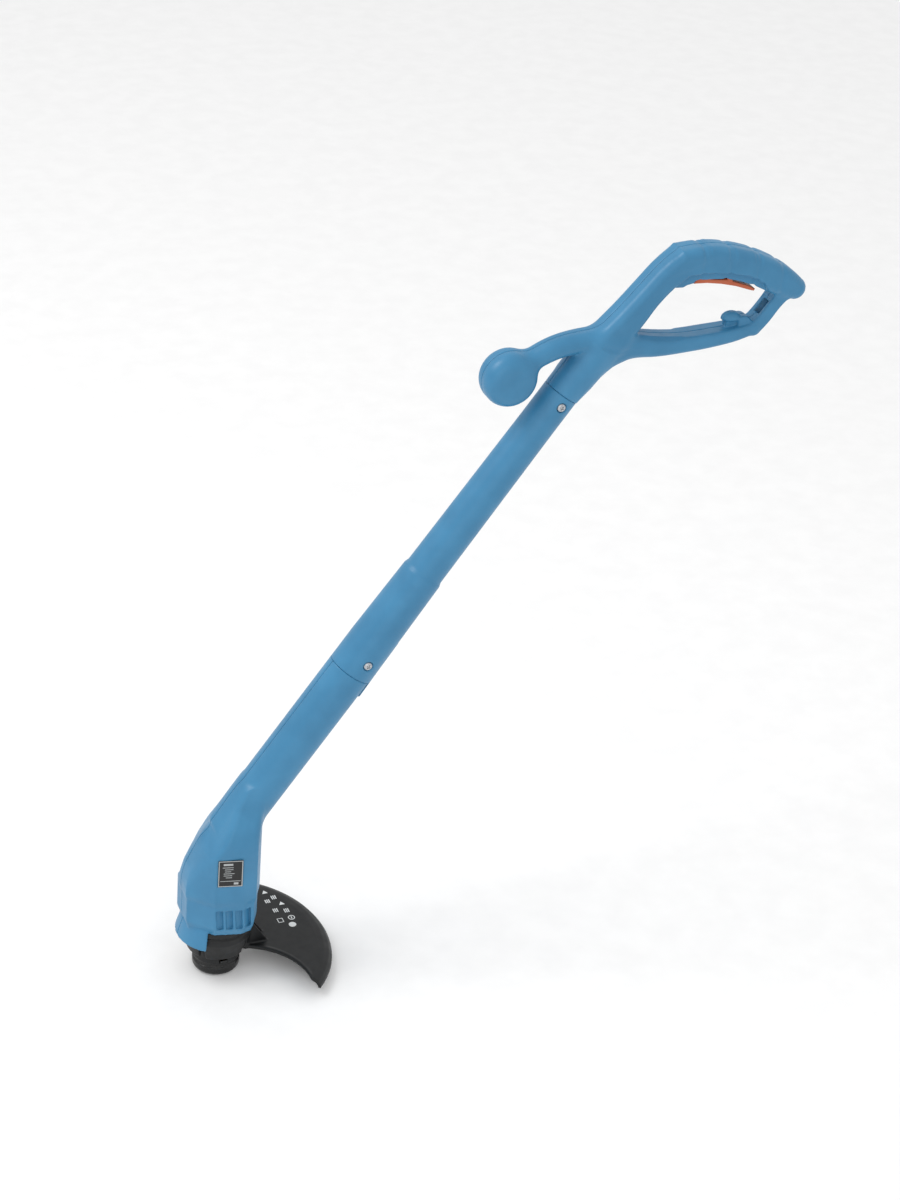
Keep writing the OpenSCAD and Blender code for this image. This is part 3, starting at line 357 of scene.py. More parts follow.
def skin(field, low, high, pitch):
    """The surface of a field as points and quads: one point in each cell that it passes through."""
    low = np.array(low, float)
    counts = np.ceil((np.array(high) - low) / pitch).astype(int) + 1
    axes = [low[i] + pitch * np.arange(counts[i]) for i in range(3)]
    x, y, z = axes[0][:, None, None], axes[1][None, :, None], axes[2][None, None, :]
    values = np.broadcast_to(field(x, y, z), counts)
    inside = values < 0
    n = counts - 1
    total = sum(inside[i:i + n[0], j:j + n[1], k:k + n[2]].astype(np.int8) for i, j, k in CORNERS)
    cells = np.argwhere((total > 0) & (total < 8))
    number = np.full(n, -1)
    number[tuple(cells.T)] = np.arange(len(cells))
    corner = np.stack([values[cells[:, 0] + i, cells[:, 1] + j, cells[:, 2] + k] for i, j, k in CORNERS], 1)
    where, hits = np.zeros((len(cells), 3)), np.zeros(len(cells))
    for a, b in EDGES:
        va, vb = corner[:, a], corner[:, b]
        crosses = (va < 0) != (vb < 0)
        t = np.where(crosses, va / np.where(crosses, va - vb, 1), 0)
        start, step = np.array(CORNERS[a], float), np.array(CORNERS[b], float) - CORNERS[a]
        where += crosses[:, None] * (start + t[:, None] * step)
        hits += crosses
    points = low + pitch * (cells + where / hits[:, None])
    quads = []
    for axis in range(3):
        first = np.take(inside, range(counts[axis] - 1), axis)
        second = np.take(inside, range(1, counts[axis]), axis)
        at = np.argwhere(first != second)
        side = [i for i in range(3) if i != axis]
        at = at[(at[:, side[0]] > 0) & (at[:, side[1]] > 0)
                & (at[:, side[0]] < n[side[0]]) & (at[:, side[1]] < n[side[1]])]
        ring = []
        for da, db in ((-1, -1), (0, -1), (0, 0), (-1, 0)):
            cell = at.copy()
            cell[:, side[0]] += da
            cell[:, side[1]] += db
            ring.append(number[tuple(cell.T)])
        ring = np.stack(ring, 1)
        flip = first[tuple(at.T)] == (axis == 1)
        ring[flip] = ring[flip][:, ::-1]
        quads.append(ring)
    return points, np.vstack(quads)


def settle(field, points, pitch, rounds=3):
    """Moves each point onto the surface itself."""
    h = 0.04
    for _ in range(rounds):
        here = field(*points.T)
        slope = np.stack([field(*(points + h * step).T) - field(*(points - h * step).T)
                          for step in np.eye(3)], 1) / (2 * h)
        size = np.maximum((slope ** 2).sum(1), 0.2)
        points = points - slope * (np.clip(here, -pitch / 2, pitch / 2) / size)[:, None]
    return points


def solid(name, field, low, high, pitch, material, place=None):
    """One piece from a field: meshed, settled and shaded smooth."""
    points, quads = skin(field, low, high, pitch)
    points = settle(field, points, pitch)
    if place is not None:
        points = place(points)
    return piece_from(name, points, quads.tolist(), material)


def piece_from(name, points, faces, material, smooth=True):
    mesh = bpy.data.meshes.new(name)
    mesh.from_pydata((np.asarray(points) * MM).tolist(), [], faces)
    mesh.validate()
    mesh.update()
    if smooth:
        mesh.shade_smooth()
    made = bpy.data.objects.new(name, mesh)
    scene.collection.objects.link(made)
    finish(made, material)
    return made


def settle_on(piece, body, slot, *nodes):
    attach(piece, body)
    if nodes:
        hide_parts(*nodes)
    return piece


# ---- the frame that everything is measured from ----

SHAFT = math.radians(54.6)
DX, DZ = math.cos(SHAFT), math.sin(SHAFT)
AXIS_Z = 151
JOINT_T, TUBE_LENGTH = 215, 333
TOP_T = JOINT_T + TUBE_LENGTH
LOWER_R, UPPER_R = 22, 17.5
WALL = 2.6
HX, HZ = TOP_T * DX, AXIS_Z + TOP_T * DZ  # the handle's own origin, at the upper joint


def along_shaft(x, z):
    """Distance along the shaft, and across it towards its underside, from X and Z."""
    return x * DX + (z - AXIS_Z) * DZ, x * DZ - (z - AXIS_Z) * DX


# ---- handle ----

ARM = smooth_line([(-52, 24, 9.5, 12), (-37, 35, 10, 12), (-12, 46.3, 10, 13), (15, 50.8, 10, 14),
                   (42, 49.8, 11.4, 14), (68, 43, 11.4, 14), (92, 40, 10, 14), (118, 39.5, 8.1, 14),
                   (145, 41, 7.5, 14), (170, 43.4, 6.8, 13), (190, 47.2, 6.4, 11)])
NECK = smooth_line([(DX * 20, DZ * 20, 14.5, 14.5), (DX * 55 + 3, DZ * 55 - 2, 16, 15), (60, 71, 14.2, 15),
                    (77, 92, 12.6, 15), (95, 110.5, 13.4, 15), (112, 118.5, 16.4, 15),
                    (136, 119.5, 16.8, 15), (163, 115.5, 15.6, 15), (190, 106, 15.2, 15),
                    (214, 93.4, 14.3, 15), (230.5, 84, 10.8, 14)])
# The squared corner where the neck turns into the grip.
CORNER = [(84, 113), (103.5, 136.2), (112, 136.4), (136, 136.2), (136, 120), (96, 108)]
LEG = smooth_line([(219.5, 82, 7.2, 12), (211.5, 71, 6.8, 10), (201.5, 57, 6.8, 10), (192.5, 47, 6.8, 10)])
GUSSET = [(DX * 4 + 8, DZ * 4 - 7), (24, 4), (35, 15), (47, 22), (62, 27.4), (84, 31), (84, 42), (40, 50),
          (16, 32)]
# The front end of the trigger's housing, a step lower than the grip's underside.
HOUSING_NOSE = [(96, 104), (102.5, 97.6), (110.5, 97.2), (114, 99), (121, 100.4), (124, 106), (110, 110)]
# Below this line the grip narrows to the trigger's housing.
GRIP_STEP = [(99, 99), (110.7, 110.8), (119, 111.6), (136, 111.6), (156, 109), (175, 105), (193, 95.5),
             (200, 84), (170, 78), (120, 84), (99, 90)]
GRIP_STEP_HALF = 8.6
TRIGGER_SLOT = [(119.5, 90), (193, 76), (193, 93), (178, 101), (157, 107), (137, 114), (123, 113),
                (119.5, 104)]
TRIGGER_SLOT_HALF = 6.4
KNOB = (-55.5, 21.7)
KNOB_R, KNOB_HALF, KNOB_EDGE = 26.6, 17, 13
SCREW_POSTS = [(-20, 40), (52, 42), (90, 100), (100, 39), (214, 96), (193, 49)]
HEAD_POCKET_R, HANDLE_FACE_Y = 3.6, 7
HANDLE_WALL = 3.1
GRIP_X, GRIP_Z, GRIP_TILT = 163, 114.5, math.radians(16)
INLET_U, INLET_V, INLET_TILT = 74, -11, math.radians(14)
RIB_PAIRS = [128.5, 155, 183.5]
SCALLOPS = [126.9, 154.5, 184.6, 211.7]


def post_distance(posts, x, z):
    """Distance to the axis of the nearest screw post."""
    return np.minimum.reduce([np.hypot(x - px, z - pz) for px, pz in posts])


def handle_body(x, y, z, less):
    """The handle's outside, drawn in by less; its hollow is the same shape drawn in by a wall."""
    d, wide, tall = limb(ARM, x, z)
    # the arm's flanks fall away from a soft ridge along its middle
    ridge = 0.42 * np.clip((84 - x) / 40, 0, 1) * (np.sqrt(np.maximum(d + tall, 0) ** 2 + 2) - 1)
    arm = thick(d, np.abs(y) + ridge, wide, 0.62 * tall)
    d, wide, tall = limb(NECK, x, z)
    neck = smaller(thick(d, y, wide, 8.5), thick(polygon(CORNER, x, z) + 1, y, 15, 7), 2)
    neck = smaller(neck, thick(polygon(HOUSING_NOSE, x, z), y, 8.4, 1.4), 1.5)
    d, wide, _ = limb(LEG, x, z)
    leg = thick(d, y, wide, 2.6)
    s, across = x * DX + z * DZ, x * DZ - z * DX
    stub = np.maximum(np.hypot(across, y) - UPPER_R, s - 56)
    gusset = thick(polygon(GUSSET, x, z) + 1, y, 12.5, 9)
    knob = thick(np.hypot(x - KNOB[0], z - KNOB[1]) - KNOB_R, y, KNOB_HALF, KNOB_EDGE)
    out = smaller(smaller(arm, neck, 7), leg, 3.5)
    out = smaller(out, knob, 8)
    out = smaller(out, larger(smaller(stub, gusset, 12) + less, less - s, 0.8) - less, 3)
    # the cord hook: a low shoulder, and a flat-bottomed dome on a stem
    shoulder = np.maximum(np.hypot(x - 179.5, z - 50) - 10.4, 174.5 - x)
    out = smaller(out, thick(shoulder, y, 7.5, 2), 2)
    dome = larger(oval(x - 169.4, y, z - 57.2, 10, 6.8, 7), 56 - z, 1.2)
    stem = block(x - 169, y, z - 50, 6, 4.4, 9, 1)
    return smaller(out, smaller(dome, stem, 1), 1.2) + less


def handle_field(x, y, z):
    ny = np.abs(y)
    outer = handle_body(x, y, z, 0)
    # the grip narrows below its step, on both flanks
    step = larger(polygon(GRIP_STEP, x, z), GRIP_STEP_HALF - ny, 1)
    outer = cut(outer, step, 1.6)
    # shallow scallops over the grip's back, and paired ribs down its flanks
    back = np.clip((z - 100 + (x - 120) * 0.30) / 10, 0, 1)
    marks = sum(0.8 * back * np.exp(-((x - at) / 2.6) ** 2) for at in SCALLOPS)
    for at in RIB_PAIRS:
        lower = 129.5 - (at - 128.5) * 0.255
        flank = np.clip((ny - 6) / 4, 0, 1) * np.clip((z - lower + 1) / 3, 0, 1)
        flank = flank * np.clip((lower + 12 - z) / 3, 0, 1)
        for side in (-2.8, 2.8):
            marks = marks + 0.55 * flank * np.exp(-((x - at - side) / 1.3) ** 2)
    outer = outer + marks
    # a long shadow groove on the bottom bar where the loop's front corner runs into it
    groove = limb(np.array([(74, 55.5, 0, 0), (90, 50.5, 0, 0), (112, 48.2, 0, 0)]), x, z)[0]
    outer = outer + 1.7 * np.exp(-(groove / 3.4) ** 2) * np.clip((ny - 8) / 3, 0, 1)
    # a square-ended slot through the rear leg, in a shallow sunk frame
    c, s = math.cos(math.radians(38)), math.sin(math.radians(38))
    lx, lz = (x - 204) * c - (z - 64) * s, (x - 204) * s + (z - 64) * c
    outer = cut(outer, block(lx, y, lz, 30, 4.5, 7.5, 0.6), 0.8)
    outer = cut(outer, block(lx + 5.4, y, lz, 1.2, 6.6, 10, 0.5), 0.8)
    hollow = handle_body(x, y, z, HANDLE_WALL) + marks
    post = post_distance(SCREW_POSTS, x, z)
    hollow = cut(hollow, post - 5.6, 0.6)
    hollow = cut(hollow, larger(polygon(GRIP_STEP, x, z) - WALL, GRIP_STEP_HALF - WALL - ny, 1), 1)
    hollow = cut(hollow, polygon(HOUSING_NOSE, x, z) - WALL, 1)
    shell = cut(outer, hollow, 0.5)
    shell = cut(shell, np.maximum(post - HEAD_POCKET_R, HANDLE_FACE_Y - y), 0.5)
    shell = cut(shell, thick(polygon(TRIGGER_SLOT, x, z), y, TRIGGER_SLOT_HALF, 0.4), 0.5)
    # the power inlet's recess in the rear end
    c, s = math.cos(GRIP_TILT), math.sin(GRIP_TILT)
    ox, oz = GRIP_X + INLET_U * c + INLET_V * s, GRIP_Z - INLET_U * s + INLET_V * c
    c, s = math.cos(GRIP_TILT + INLET_TILT), math.sin(GRIP_TILT + INLET_TILT)
    along, up = (x - ox) * c - (z - oz) * s, (x - ox) * s + (z - oz) * c
    return cut(shell, block(along - 10, y, up, 24.4, 10, 6, 1), 0.8)


def cell(full, quick):
    return full


def in_handle(p):
    """Points from the handle's own origin to the frame's."""
    return p + np.array([HX, 0, HZ])


SEAM_GAP = 0.04


def half_of(field, side):
    """The half of a shell on one side of the mould's parting plane, its edge lightly broken."""
    return lambda x, y, z: larger(field(x, y, z), SEAM_GAP - side * y, 0.7)


def clamshell(nodes, field, low, high, pitch, place=None):
    """The near and far halves of a moulded shell, each in place of its CAD node."""
    for side, node in zip((-1, 1), nodes):
        y_low, y_high = (low[1], 1.0) if side < 0 else (-1.0, high[1])
        near_end, far_end = (low[0], y_low, low[2]), (high[0], y_high, high[2])
        made = solid(node + "_shell", half_of(field, side), near_end, far_end, pitch,
                     blue_polypropylene, place)
        settle_on(made, "frame", "blue_shell", node)


clamshell(("handle_left", "handle_right"), handle_field, (-84, -20.5, -10), (246, 20.5, 140),
          cell(1.1, 1.35), in_handle)

# ---- motor head and lower tube ----

HEAD_PLAN = [(-38.6, 16), (-38.6, -16), (-15.5, -37), (12, -43), (26, -39), (34.6, -23), (38, -13),
             (38, 13), (34.6, 23), (26, 39), (12, 43), (-15.5, 37)]
HEAD_SIDE = [(-38.6, 80), (38, 80), (38, 116), (36, 150), (42, 180), (46, 206), (30, 226), (10, 200),
             (-1, 181), (-11.5, 166), (-18.4, 160), (-24.6, 146), (-31.4, 132), (-38.6, 112)]
# How far forward the middle of the head reaches at each height; its flanks slope back from there.
BROW_Z = [108, 128, 140, 154, 166, 180, 200, 240]
BROW_X = [-46, -40, -34.5, -26, -17, -8, 5, 33]
# The near flank is flatter, to carry the label.
NEAR_SLOPE, FAR_SLOPE = 0.22, 0.7
HEAD_FRONT = [(-43, 40), (43, 40), (43, 150), (39, 165), (32, 182), (23, 198), (16, 216),
              (-16, 216), (-23, 198), (-32, 182), (-39, 165), (-43, 150)]
BAND_TOP, HEAD_BOTTOM = 95, 61
HEAD_POSTS = [(-30, 78), (31, 78), (30, 150), (64, 222), (94, 264)]
HEAD_FACE_Y = 12
LABEL_W, LABEL_H, LABEL_Z = 24, 31, 139
# The label sits in the middle of the facet between these two corners of the plan.
LABEL_A, LABEL_B = np.array([-15.5, -37]), np.array([12, -43])
LABEL_MID = (LABEL_A + LABEL_B) / 2
LABEL_ALONG = (LABEL_B - LABEL_A) / np.linalg.norm(LABEL_B - LABEL_A)


def head_body(x, y, z, less):
    """The head's panelled upper part, its plain band below, and the lower tube, drawn in by less."""
    plan = polygon(HEAD_PLAN, x, y)
    panel = larger(larger(plan + 2.4 + less, polygon(HEAD_SIDE, x, z) + less, 5) - 2.4,
                   polygon(HEAD_FRONT, y, z) + less, 5)
    slope = np.where(y < 0, NEAR_SLOPE, FAR_SLOPE)
    brow = (np.interp(z, BROW_Z, BROW_X) + slope * np.abs(y) - x) / math.hypot(1, FAR_SLOPE)
    panel = larger(panel, brow + less, 4)
    panel = larger(panel, (BAND_TOP - z + 1.5 + (plan + 2.4 + less) * 2.2) / 2.4 + less, 1.6)
    foot = np.clip((72 - z) / 9, 0, 1) ** 1.6
    band = larger(plan + 3.2 + 2.6 * foot + less, np.abs(z - 84 + less / 2) - 23 + less * 0.6, 2.2) - 1.5
    band = np.maximum(band, HEAD_BOTTOM + less - z)
    t, across = along_shaft(x, z)
    shaft = larger(np.hypot(across, y) - LOWER_R + less, 14 - t, 2)
    shaft = larger(shaft, t - JOINT_T, 0.6 if less == 0 else 0.1)
    return smaller(smaller(panel, band, 1.2), shaft, 5)


VENTS, VENT_X, VENT_PITCH, VENT_Z = 4, -9.5, 9.2, 80.5
APRON = [(29, 60.5), (33, 65), (35.6, 62.4), (37.2, 57), (40.9, 44.2), (38.5, 44), (35.2, 55), (33.6, 58.6)]
APRON_HALF_ANGLE = 57


def head_field(x, y, z):
    t, across = along_shaft(x, z)
    outer = head_body(x, y, z, 0)
    hollow = head_body(x, y, z, WALL)
    hollow = smaller(hollow, np.maximum(np.hypot(across, y) - LOWER_R + WALL, np.abs(t - 114) - 94), 1)
    post = post_distance(HEAD_POSTS, x, z)
    hollow = cut(hollow, np.maximum(post - 6, -y - 8), 0.6)
    # louvred cooling vents low on each flank: each is a ramp, deep at the front, with a baffle behind
    plan = polygon(HEAD_PLAN, x, y)
    for i in range(VENTS):
        u = x - VENT_X - VENT_PITCH * i + (z - VENT_Z) * 0.06
        louvre = block(u, np.abs(y) - 40, z - VENT_Z, 3.2, 9, 11.5, 0.8)
        outer = cut(outer, larger(louvre, -plan - 5.6 - 0.34 * (u - 3.2), 0.3), 0.5)
        hollow = cut(hollow, louvre - WALL, 0.6)
    shell = cut(outer, hollow, 0.5)
    shell = cut(shell, np.maximum(post - HEAD_POCKET_R, HEAD_FACE_Y - y), 0.5)
    # exhaust slots across the underside of the tube
    for i in range(5):
        shell = cut(shell, block(t - 32 - 11 * i, y, across - 22, 1.8, 9, 7, 1.5), 0.6)
    # the motor shaft's opening in the floor
    shell = cut(shell, np.maximum(np.hypot(x, y) - 15.2, np.abs(z - 62) - 6), 0.4)
    # the apron that keeps grass off the spool, round the front
    radial, angle = np.hypot(x, y), np.degrees(np.arctan2(np.abs(y), -x))
    end = radial * np.sin(np.radians(np.clip(angle - APRON_HALF_ANGLE, -60, 60)))
    apron = larger(polygon(APRON, radial, z) - 0.3, end, 0.8)
    shell = smaller(shell, apron, 0.8)
    # a flat seat for the label
    du, dv = x - LABEL_MID[0], y - LABEL_MID[1]
    lu, lv = du * LABEL_ALONG[0] + dv * LABEL_ALONG[1], du * LABEL_ALONG[1] - dv * LABEL_ALONG[0]
    return cut(shell, block(lu, lv, z - LABEL_Z, LABEL_W / 2 + 0.4, 0.5, LABEL_H / 2 + 0.4, 0.3), 0.3)


clamshell(("housing_left", "housing_right"), head_field, (-45, -46, 41), (152, 46, 345),
          cell(1.15, 1.35))

# ---- middle tube ----

TUBE_PROFILE = [(0, 22), (35, 22), (116, 20.4), (120, 19), (299, 17.5), (333, 17.5)]
JOINT_HOLES = [(17, 20), (TUBE_LENGTH - 10, 15.3)]
# A proud lip on the underside laps over the housing below the joint and fades out above it.
LIP = smooth_line([(-19, 6.0, 18.6, 0), (-4, 4.6, 19.4, 0), (20, 3.2, 19.9, 0), (48, 0.6, 21.2, 0)])


def tube_field(t, y, across):
    radius = np.interp(t, *np.array(TUBE_PROFILE).T)
    radial = np.hypot(across, y)
    body = larger(radial - radius, np.abs(t - TUBE_LENGTH / 2) - TUBE_LENGTH / 2 + 0.03, 0.8)
    lip = None
    for a, b in zip(LIP[:-1], LIP[1:]):
        f = np.clip((t - a[0]) / (b[0] - a[0]), 0, 1)
        d = np.hypot(across - a[1] - f * (b[1] - a[1]), y) - a[2] - f * (b[2] - a[2])
        d = np.maximum(d, np.maximum(a[0] - t, t - b[0]))
        lip = d if lip is None else np.minimum(lip, d)
    # the lip's lower end slants back towards the flanks and is bevelled to the surface
    lip = larger(lip, -t - 19 + (22 - across) * 1.0, 2)
    lip = np.maximum(lip, 22.06 - radial - np.clip(t, 0, 1) * 40)
    body = smaller(body, lip, 1.0)
    for at, seat in JOINT_HOLES:
        across_hole = np.hypot(t - at, across)
        body = cut(body, np.maximum(across_hole - 4.9, seat - np.abs(y)), 0.7)
        body = cut(body, np.hypot(across_hole, (np.abs(y) - seat - 8.4) * 1.3) - 9.2, 1.4)
    return body


def tube_place(p):
    t, y, across = p.T
    t = t + JOINT_T
    return np.stack([t * DX + across * DZ, y, AXIS_Z + t * DZ - across * DX], 1)


tube = solid("middle_tube_shell", tube_field, (-22, -24, -24), (335, 24, 28), cell(1.2, 1.5),
             blue_polypropylene, tube_place)
settle_on(tube, "frame", "blue_shell", "middle_tube")

# ---- guard ----

GUARD_R, GUARD_NECK_R, GUARD_TOP = 116, 28, 21
# (radius, height): a flat plate whose rim rolls over into a skirt
GUARD_PROFILE = [(22, 21), (101, 21), (107.5, 20.3), (112.5, 18), (115.3, 14.4), (116, 11.2), (113.6, 11),
                 (112.6, 13.8), (110.4, 16), (106.5, 17.5), (100, 18), (22, 18)]
SHROUD = [(27, 26), (29.6, 26), (31.5, 34), (34.4, 44), (35, 46), (35, 52.4), (33.6, 53), (33.6, 55),
          (35, 55.6), (35, 60.9), (25.5, 60.9), (25.5, 49), (28, 40)]


def guard_field(x, y, z):
    radial = np.hypot(x, y)
    angle = np.degrees(np.arctan2(np.abs(y), x))
    # the near edge sweeps back and ends square to the rim; the far edge is fuller
    share = np.clip((radial - GUARD_NECK_R) / (106 - GUARD_NECK_R), 0, 1)
    limit = np.where(y < 0, 21 + 25 * share ** 1.6, 21 + 37 * share ** 0.7)
    side = radial * np.radians(angle - limit) * 0.93
    plate = larger(polygon(GUARD_PROFILE, radial, z) - 0.25, side, 1.6)
    # a low bead along the two cut edges
    bead = larger(np.abs(side + 1.6) - 1.5, np.maximum(np.abs(z - GUARD_TOP + 0.4) - 1.3, radial - 104), 1.2)
    plate = smaller(plate, np.maximum(bead, 30 - radial), 1.2)
    shroud = polygon(SHROUD, radial, z) - 0.2
    web = np.maximum(np.maximum(np.abs(y) - 9.6, 27 - x), np.maximum(x - 31, np.abs(z - 33) - 16))
    gussets = None
    for s in (-7, 7):
        g = thick(polygon([(28, 19), (53, 19), (34, 48), (28, 48)], x, z), y - s, 1.2, 0.4)
        gussets = g if gussets is None else np.minimum(gussets, g)
    out = smaller(smaller(plate, smaller(shroud, web, 3), 2), gussets, 1.5)
    bolt = np.hypot(np.abs(x) - 20.86, np.abs(y) - 20.86)
    out = cut(out, np.maximum(bolt - 3.5, np.maximum(z - 50, 24 - z)), 0.4)
    return out


guard = solid("guard_shell", guard_field, (-36.5, -84, 9.5), (118, 101, 62.5), cell(1.15, 1.35),
              black_polypropylene)
settle_on(guard, "frame", "black_guard", "guard")

# ---- bump knob and spool hub ----


def knob_field(x, y, z):
    radial = np.hypot(x, y)
    lip = 1.6 * np.clip((10.6 - z) / 0.8, 0, 1)
    outer = larger(np.hypot(np.maximum(radial - 17 - lip, 0), np.maximum(5 - z, 0)) - 5, z - 20.4, 0.8)
    outer = np.maximum(outer, -z)
    # a shallow dish in the middle of the face
    outer = cut(outer, oval(x, y, z + 6.6, 15, 15, 7.6), 1.0)
    inner = np.maximum(radial - 19.6, 4 - z)
    cup = cut(outer, inner, 0.4)
    lugs = block(x, np.abs(y) - 23, z - 18.8, 3.5, 2.3, 1.4, 0.4)
    return smaller(cup, lugs, 0.4)


bump_knob = solid("bump_knob_cup", knob_field, (-24.5, -27, -0.8), (24.5, 27, 21.5), cell(0.9, 1.3),
                  glossy_nylon)
settle_on(bump_knob, "bump", "gloss_black", "bump_knob")


def hub_field(x, y, z):
    radial = np.hypot(x, y)
    cup = larger(radial - 24.8, np.abs(z - 28) - 13, 1.6)
    # sunk panels round the wall, between the eyelets and the slots
    angle = np.arctan2(y, x)
    ribs = 0.55 * np.clip(np.cos(12 * angle) * 3, -1, 1)
    ribs = ribs * np.clip((36.5 - z) / 1.2, 0, 1) * np.clip((z - 22.5) / 1.2, 0, 1)
    cup = cup + 0.3 + np.where(radial > 23.4, ribs * 0.5, 0)
    cup = cut(cup, np.maximum(radial - 22.4, z - 38), 0.5)
    boss = np.maximum(radial - 7, np.abs(z - 27.5) - 13.5)
    boss = smaller(boss, np.maximum(radial - 10, np.abs(z - 42) - 4), 1)
    out = smaller(cup, boss, 1.5)
    out = cut(out, np.maximum(radial - 3.99, 26 - z), 0.2)
    out = cut(out, np.maximum(np.hypot(y, z - 29) - 3.1, 20 - np.abs(x)), 0.3)
    return cut(out, block(x, np.abs(y) - 23.5, z - 20.9, 3.9, 4, 3.9, 0.4), 0.3)


hub = solid("spool_hub_cup", hub_field, (-26, -26, 13), (26, 26, 47), cell(0.9, 1.3),
            black_polypropylene)
settle_on(hub, "rotor", "black_guard", "spool_hub")

# ---- trigger ----

TRIGGER = [(121.5, 98.8), (136, 98.1), (151, 95.7), (167, 91.8), (182, 86.5), (187, 85), (188.4, 87.2),
           (180, 91.6), (166, 96.6), (163, 97.8), (163, 102.7), (157, 103.3), (157, 99.8), (140, 101.8),
           (135, 108), (131, 111), (127, 108.6), (124, 102.4)]


def trigger_field(x, y, z):
    body = thick(polygon(TRIGGER, x, z) + 0.1, y, 6, 1.1)
    # a finger hollow along the strip
    strip = np.clip((x - 128) / 6, 0, 1) * np.clip((186 - x) / 6, 0, 1)
    body = body + 0.35 * strip * np.exp(-(y / 2.6) ** 2) * (z < 98.4)
    return cut(body, np.hypot(x - 131, z - 107) - 1.56, 0.2)


trigger = solid("trigger_lever", trigger_field, (119, -7, 83), (190.5, 7, 113), cell(0.6, 0.9),
                orange_abs, in_handle)
settle_on(trigger, "trigger", "orange_trigger", "trigger")

# ---- joint screws ----


def screw_field(x, y, z):
    """A pan head on +Z with a cross recess, and its shank, seated at z 0."""
    radial = np.hypot(x, y)
    head = larger(oval(x, y, z, 4.5, 4.5, 2.7), -z, 0.5)
    shank = np.maximum(radial - 2, np.abs(z + 8) - 8.2)
    out = np.minimum(head, shank)
    for a, b in ((x, y), (y, x)):
        out = cut(out, block(a, b, z - 2.6, 2.4 - np.clip(2.6 - z, 0, 2) * 0.5, 0.55, 1.7, 0.15), 0.2)
    return out


def joined(name, parts):
    """Several pieces made into one."""
    for p in parts:
        p.select_set(True)
    bpy.context.view_layer.objects.active = parts[0]
    bpy.ops.object.join()
    parts[0].name = parts[0].data.name = name
    parts[0].select_set(False)
    return parts[0]


screw_parts = []
for at, seat in JOINT_HOLES:
    t = JOINT_T + at

    def screw_place(p, t=t, seat=seat):
        x, y, z = p.T
        return np.stack([t * DX + x * DX + y * DZ, -seat - z, AXIS_Z + t * DZ + x * DZ - y * DX], 1)

    made = solid(f"joint_screw_{at}", screw_field, (-5, -5, -17), (5, 5, 3.4), cell(0.35, 0.5),
                 zinc_plate, screw_place)
    screw_parts.append(made)
bpy.ops.object.select_all(action="DESELECT")
joint_screws = joined("joint_screw_pair", screw_parts)
settle_on(joint_screws, "frame", "zinc_screw", "joint_screws")

# ---- label and marks ----


def raised(name, outlines, height, material, place):
    """Flat printed shapes, a little thick; each outline is a list of (u, v)."""
    points, faces = [], []
    for outline in outlines:
        n, at = len(outline), len(points)
        points += [(u, v, 0) for u, v in outline] + [(u, v, height) for u, v in outline]
        faces.append(tuple(at + n + k for k in range(n)))
        faces.append(tuple(at + n - 1 - k for k in range(n)))
        faces += [(at + k, at + (k + 1) % n, at + n + (k + 1) % n, at + n + k) for k in range(n)]
    return piece_from(name, [place(*p) for p in points], faces, material, smooth=False)


def bar(u, v, half_u, half_v):
    return [(u + a * half_u, v + b * half_v) for a, b in ((-1, -1), (1, -1), (1, 1), (-1, 1))]


def disc(u, v, r, sides=28):
    return [(u + r * math.cos(2 * math.pi * k / sides), v + r * math.sin(2 * math.pi * k / sides))
            for k in range(sides)]


def label_place(u, v, w):
    out = np.array([LABEL_ALONG[1], -LABEL_ALONG[0]])
    p = LABEL_MID + u * LABEL_ALONG + (w - 0.1) * out
    return (p[0], p[1], LABEL_Z + v)


plate = raised("label_plate", [bar(0, 0, LABEL_W / 2, LABEL_H / 2)], 0.35, label_film, label_place)
settle_on(plate, "frame", "label_plate", "rating_label")
w, h = LABEL_W / 2, LABEL_H / 2
frame_bars = [bar(0, h - 0.7, w - 0.3, 0.4), bar(0, 0.7 - h, w - 0.3, 0.4),
              bar(w - 0.7, 0, 0.4, h - 1.1), bar(0.7 - w, 0, 0.4, h - 1.1)]
rules = [bar(-2.6 + k % 2, 7.5 - 2.4 * k, 5.2 - 1.1 * (k % 3), 0.33) for k in range(6)]
rules += [bar(-2.4, 11, 4.6, 1.1), bar(0, -8.6, w - 2.2, 0.3), bar(5.6, -11.6, 2.2, 1.2)]
ink = raised("label_rules", frame_bars + rules, 0.12, silver_ink,
             lambda u, v, q: label_place(u, v, q + 0.36))
settle_on(ink, "frame", "label_plate")

MARKS = [[(73.5, 66.1), "wedge", 3.0], [(79.7, 55.5), "bars", 3.0], [(84.2, 43.8), "wedge", 3.0],
         [(85.3, 31.4), "bars", 3.1], [(86.4, 19.2), "ring", 3.6], [(83.6, 8.2), "disc", 3.8],
         [(71.6, 51.1), "bars", 2.8], [(74.6, 34.7), "bars", 3.0], [(74.1, 17.8), "frame", 3.0]]


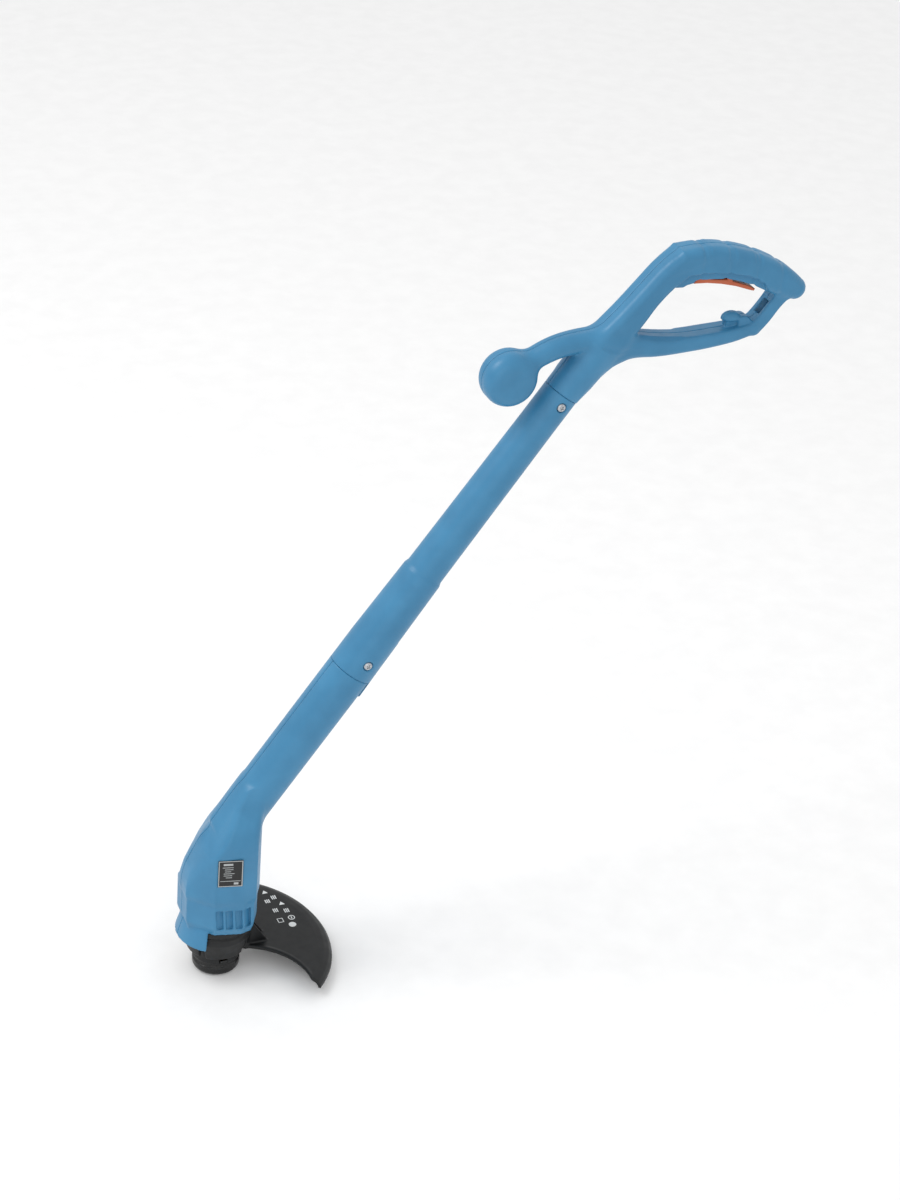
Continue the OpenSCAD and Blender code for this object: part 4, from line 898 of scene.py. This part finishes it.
def ring_pieces(u, v, r, thick_by, sides=28):
    out = []
    for k in range(sides):
        a, b = 2 * math.pi * k / sides, 2 * math.pi * (k + 1) / sides
        out.append([(u + q * math.cos(c), v + q * math.sin(c))
                    for q, c in ((r - thick_by, a), (r, a), (r, b), (r - thick_by, b))])
    return out


mark_shapes = []
for (u, v), kind, r in MARKS:
    if kind == "wedge":
        mark_shapes.append([(u - r, v - r * 0.7), (u + r, v - r * 0.7), (u, v + r)])
    elif kind == "bars":
        mark_shapes += [bar(u + q, v, 0.55, r) for q in (-1.9, 0, 1.9)]
    elif kind == "ring":
        mark_shapes += ring_pieces(u, v, r, 0.9) + [bar(u, v, 0.5, 1.8)]
    elif kind == "disc":
        mark_shapes.append(disc(u, v, r))
    else:
        mark_shapes += [bar(u, v - r, r, 0.35), bar(u, v + r, r, 0.35),
                        bar(u - r + 0.35, v, 0.35, r - 0.35), bar(u + r - 0.35, v, 0.35, r - 0.35)]
marks = raised("guard_marks", mark_shapes, 0.12, white_ink, lambda u, v, q: (u, v, GUARD_TOP + 0.23 + q))
settle_on(marks, "frame", "pale_moulding")

# ---- stage and light ----

FLOOR_HALF = 6000
# Seamless studio paper: plain, pale and dull.
studio_paper = moulded("studio_paper", "#F4F4F4", "#F7F7F7", (0.85, 0.95), 4.0, 0.002)
floor = piece_from("floor", [(x, y, 0) for x, y in bar(0, 0, FLOOR_HALF, FLOOR_HALF)],
                   [(0, 1, 2, 3)], studio_paper, smooth=False)

world = bpy.data.worlds.new("studio")
world.use_nodes = True
world.node_tree.nodes["Background"].inputs["Color"].default_value = (1, 1, 1, 1)
world.node_tree.nodes["Background"].inputs["Strength"].default_value = 0.9
scene.world = world
scene.view_settings.view_transform = "Standard"


def softbox(name, place, size, power):
    """A square soft light that faces the middle of the object."""
    data = bpy.data.lights.new(name, "AREA")
    data.size = size
    data.energy = power
    made = bpy.data.objects.new(name, data)
    scene.collection.objects.link(made)
    middle = (cad_box[0] + cad_box[1]) / 2
    made.location = middle + Vector(place)
    made.rotation_euler = (middle - made.location).to_track_quat("-Z", "Y").to_euler()


softbox("key", (-1.6, 0.3, 2.2), 1.2, 26)
softbox("fill", (-1.0, -2.4, 0.9), 2.0, 6)
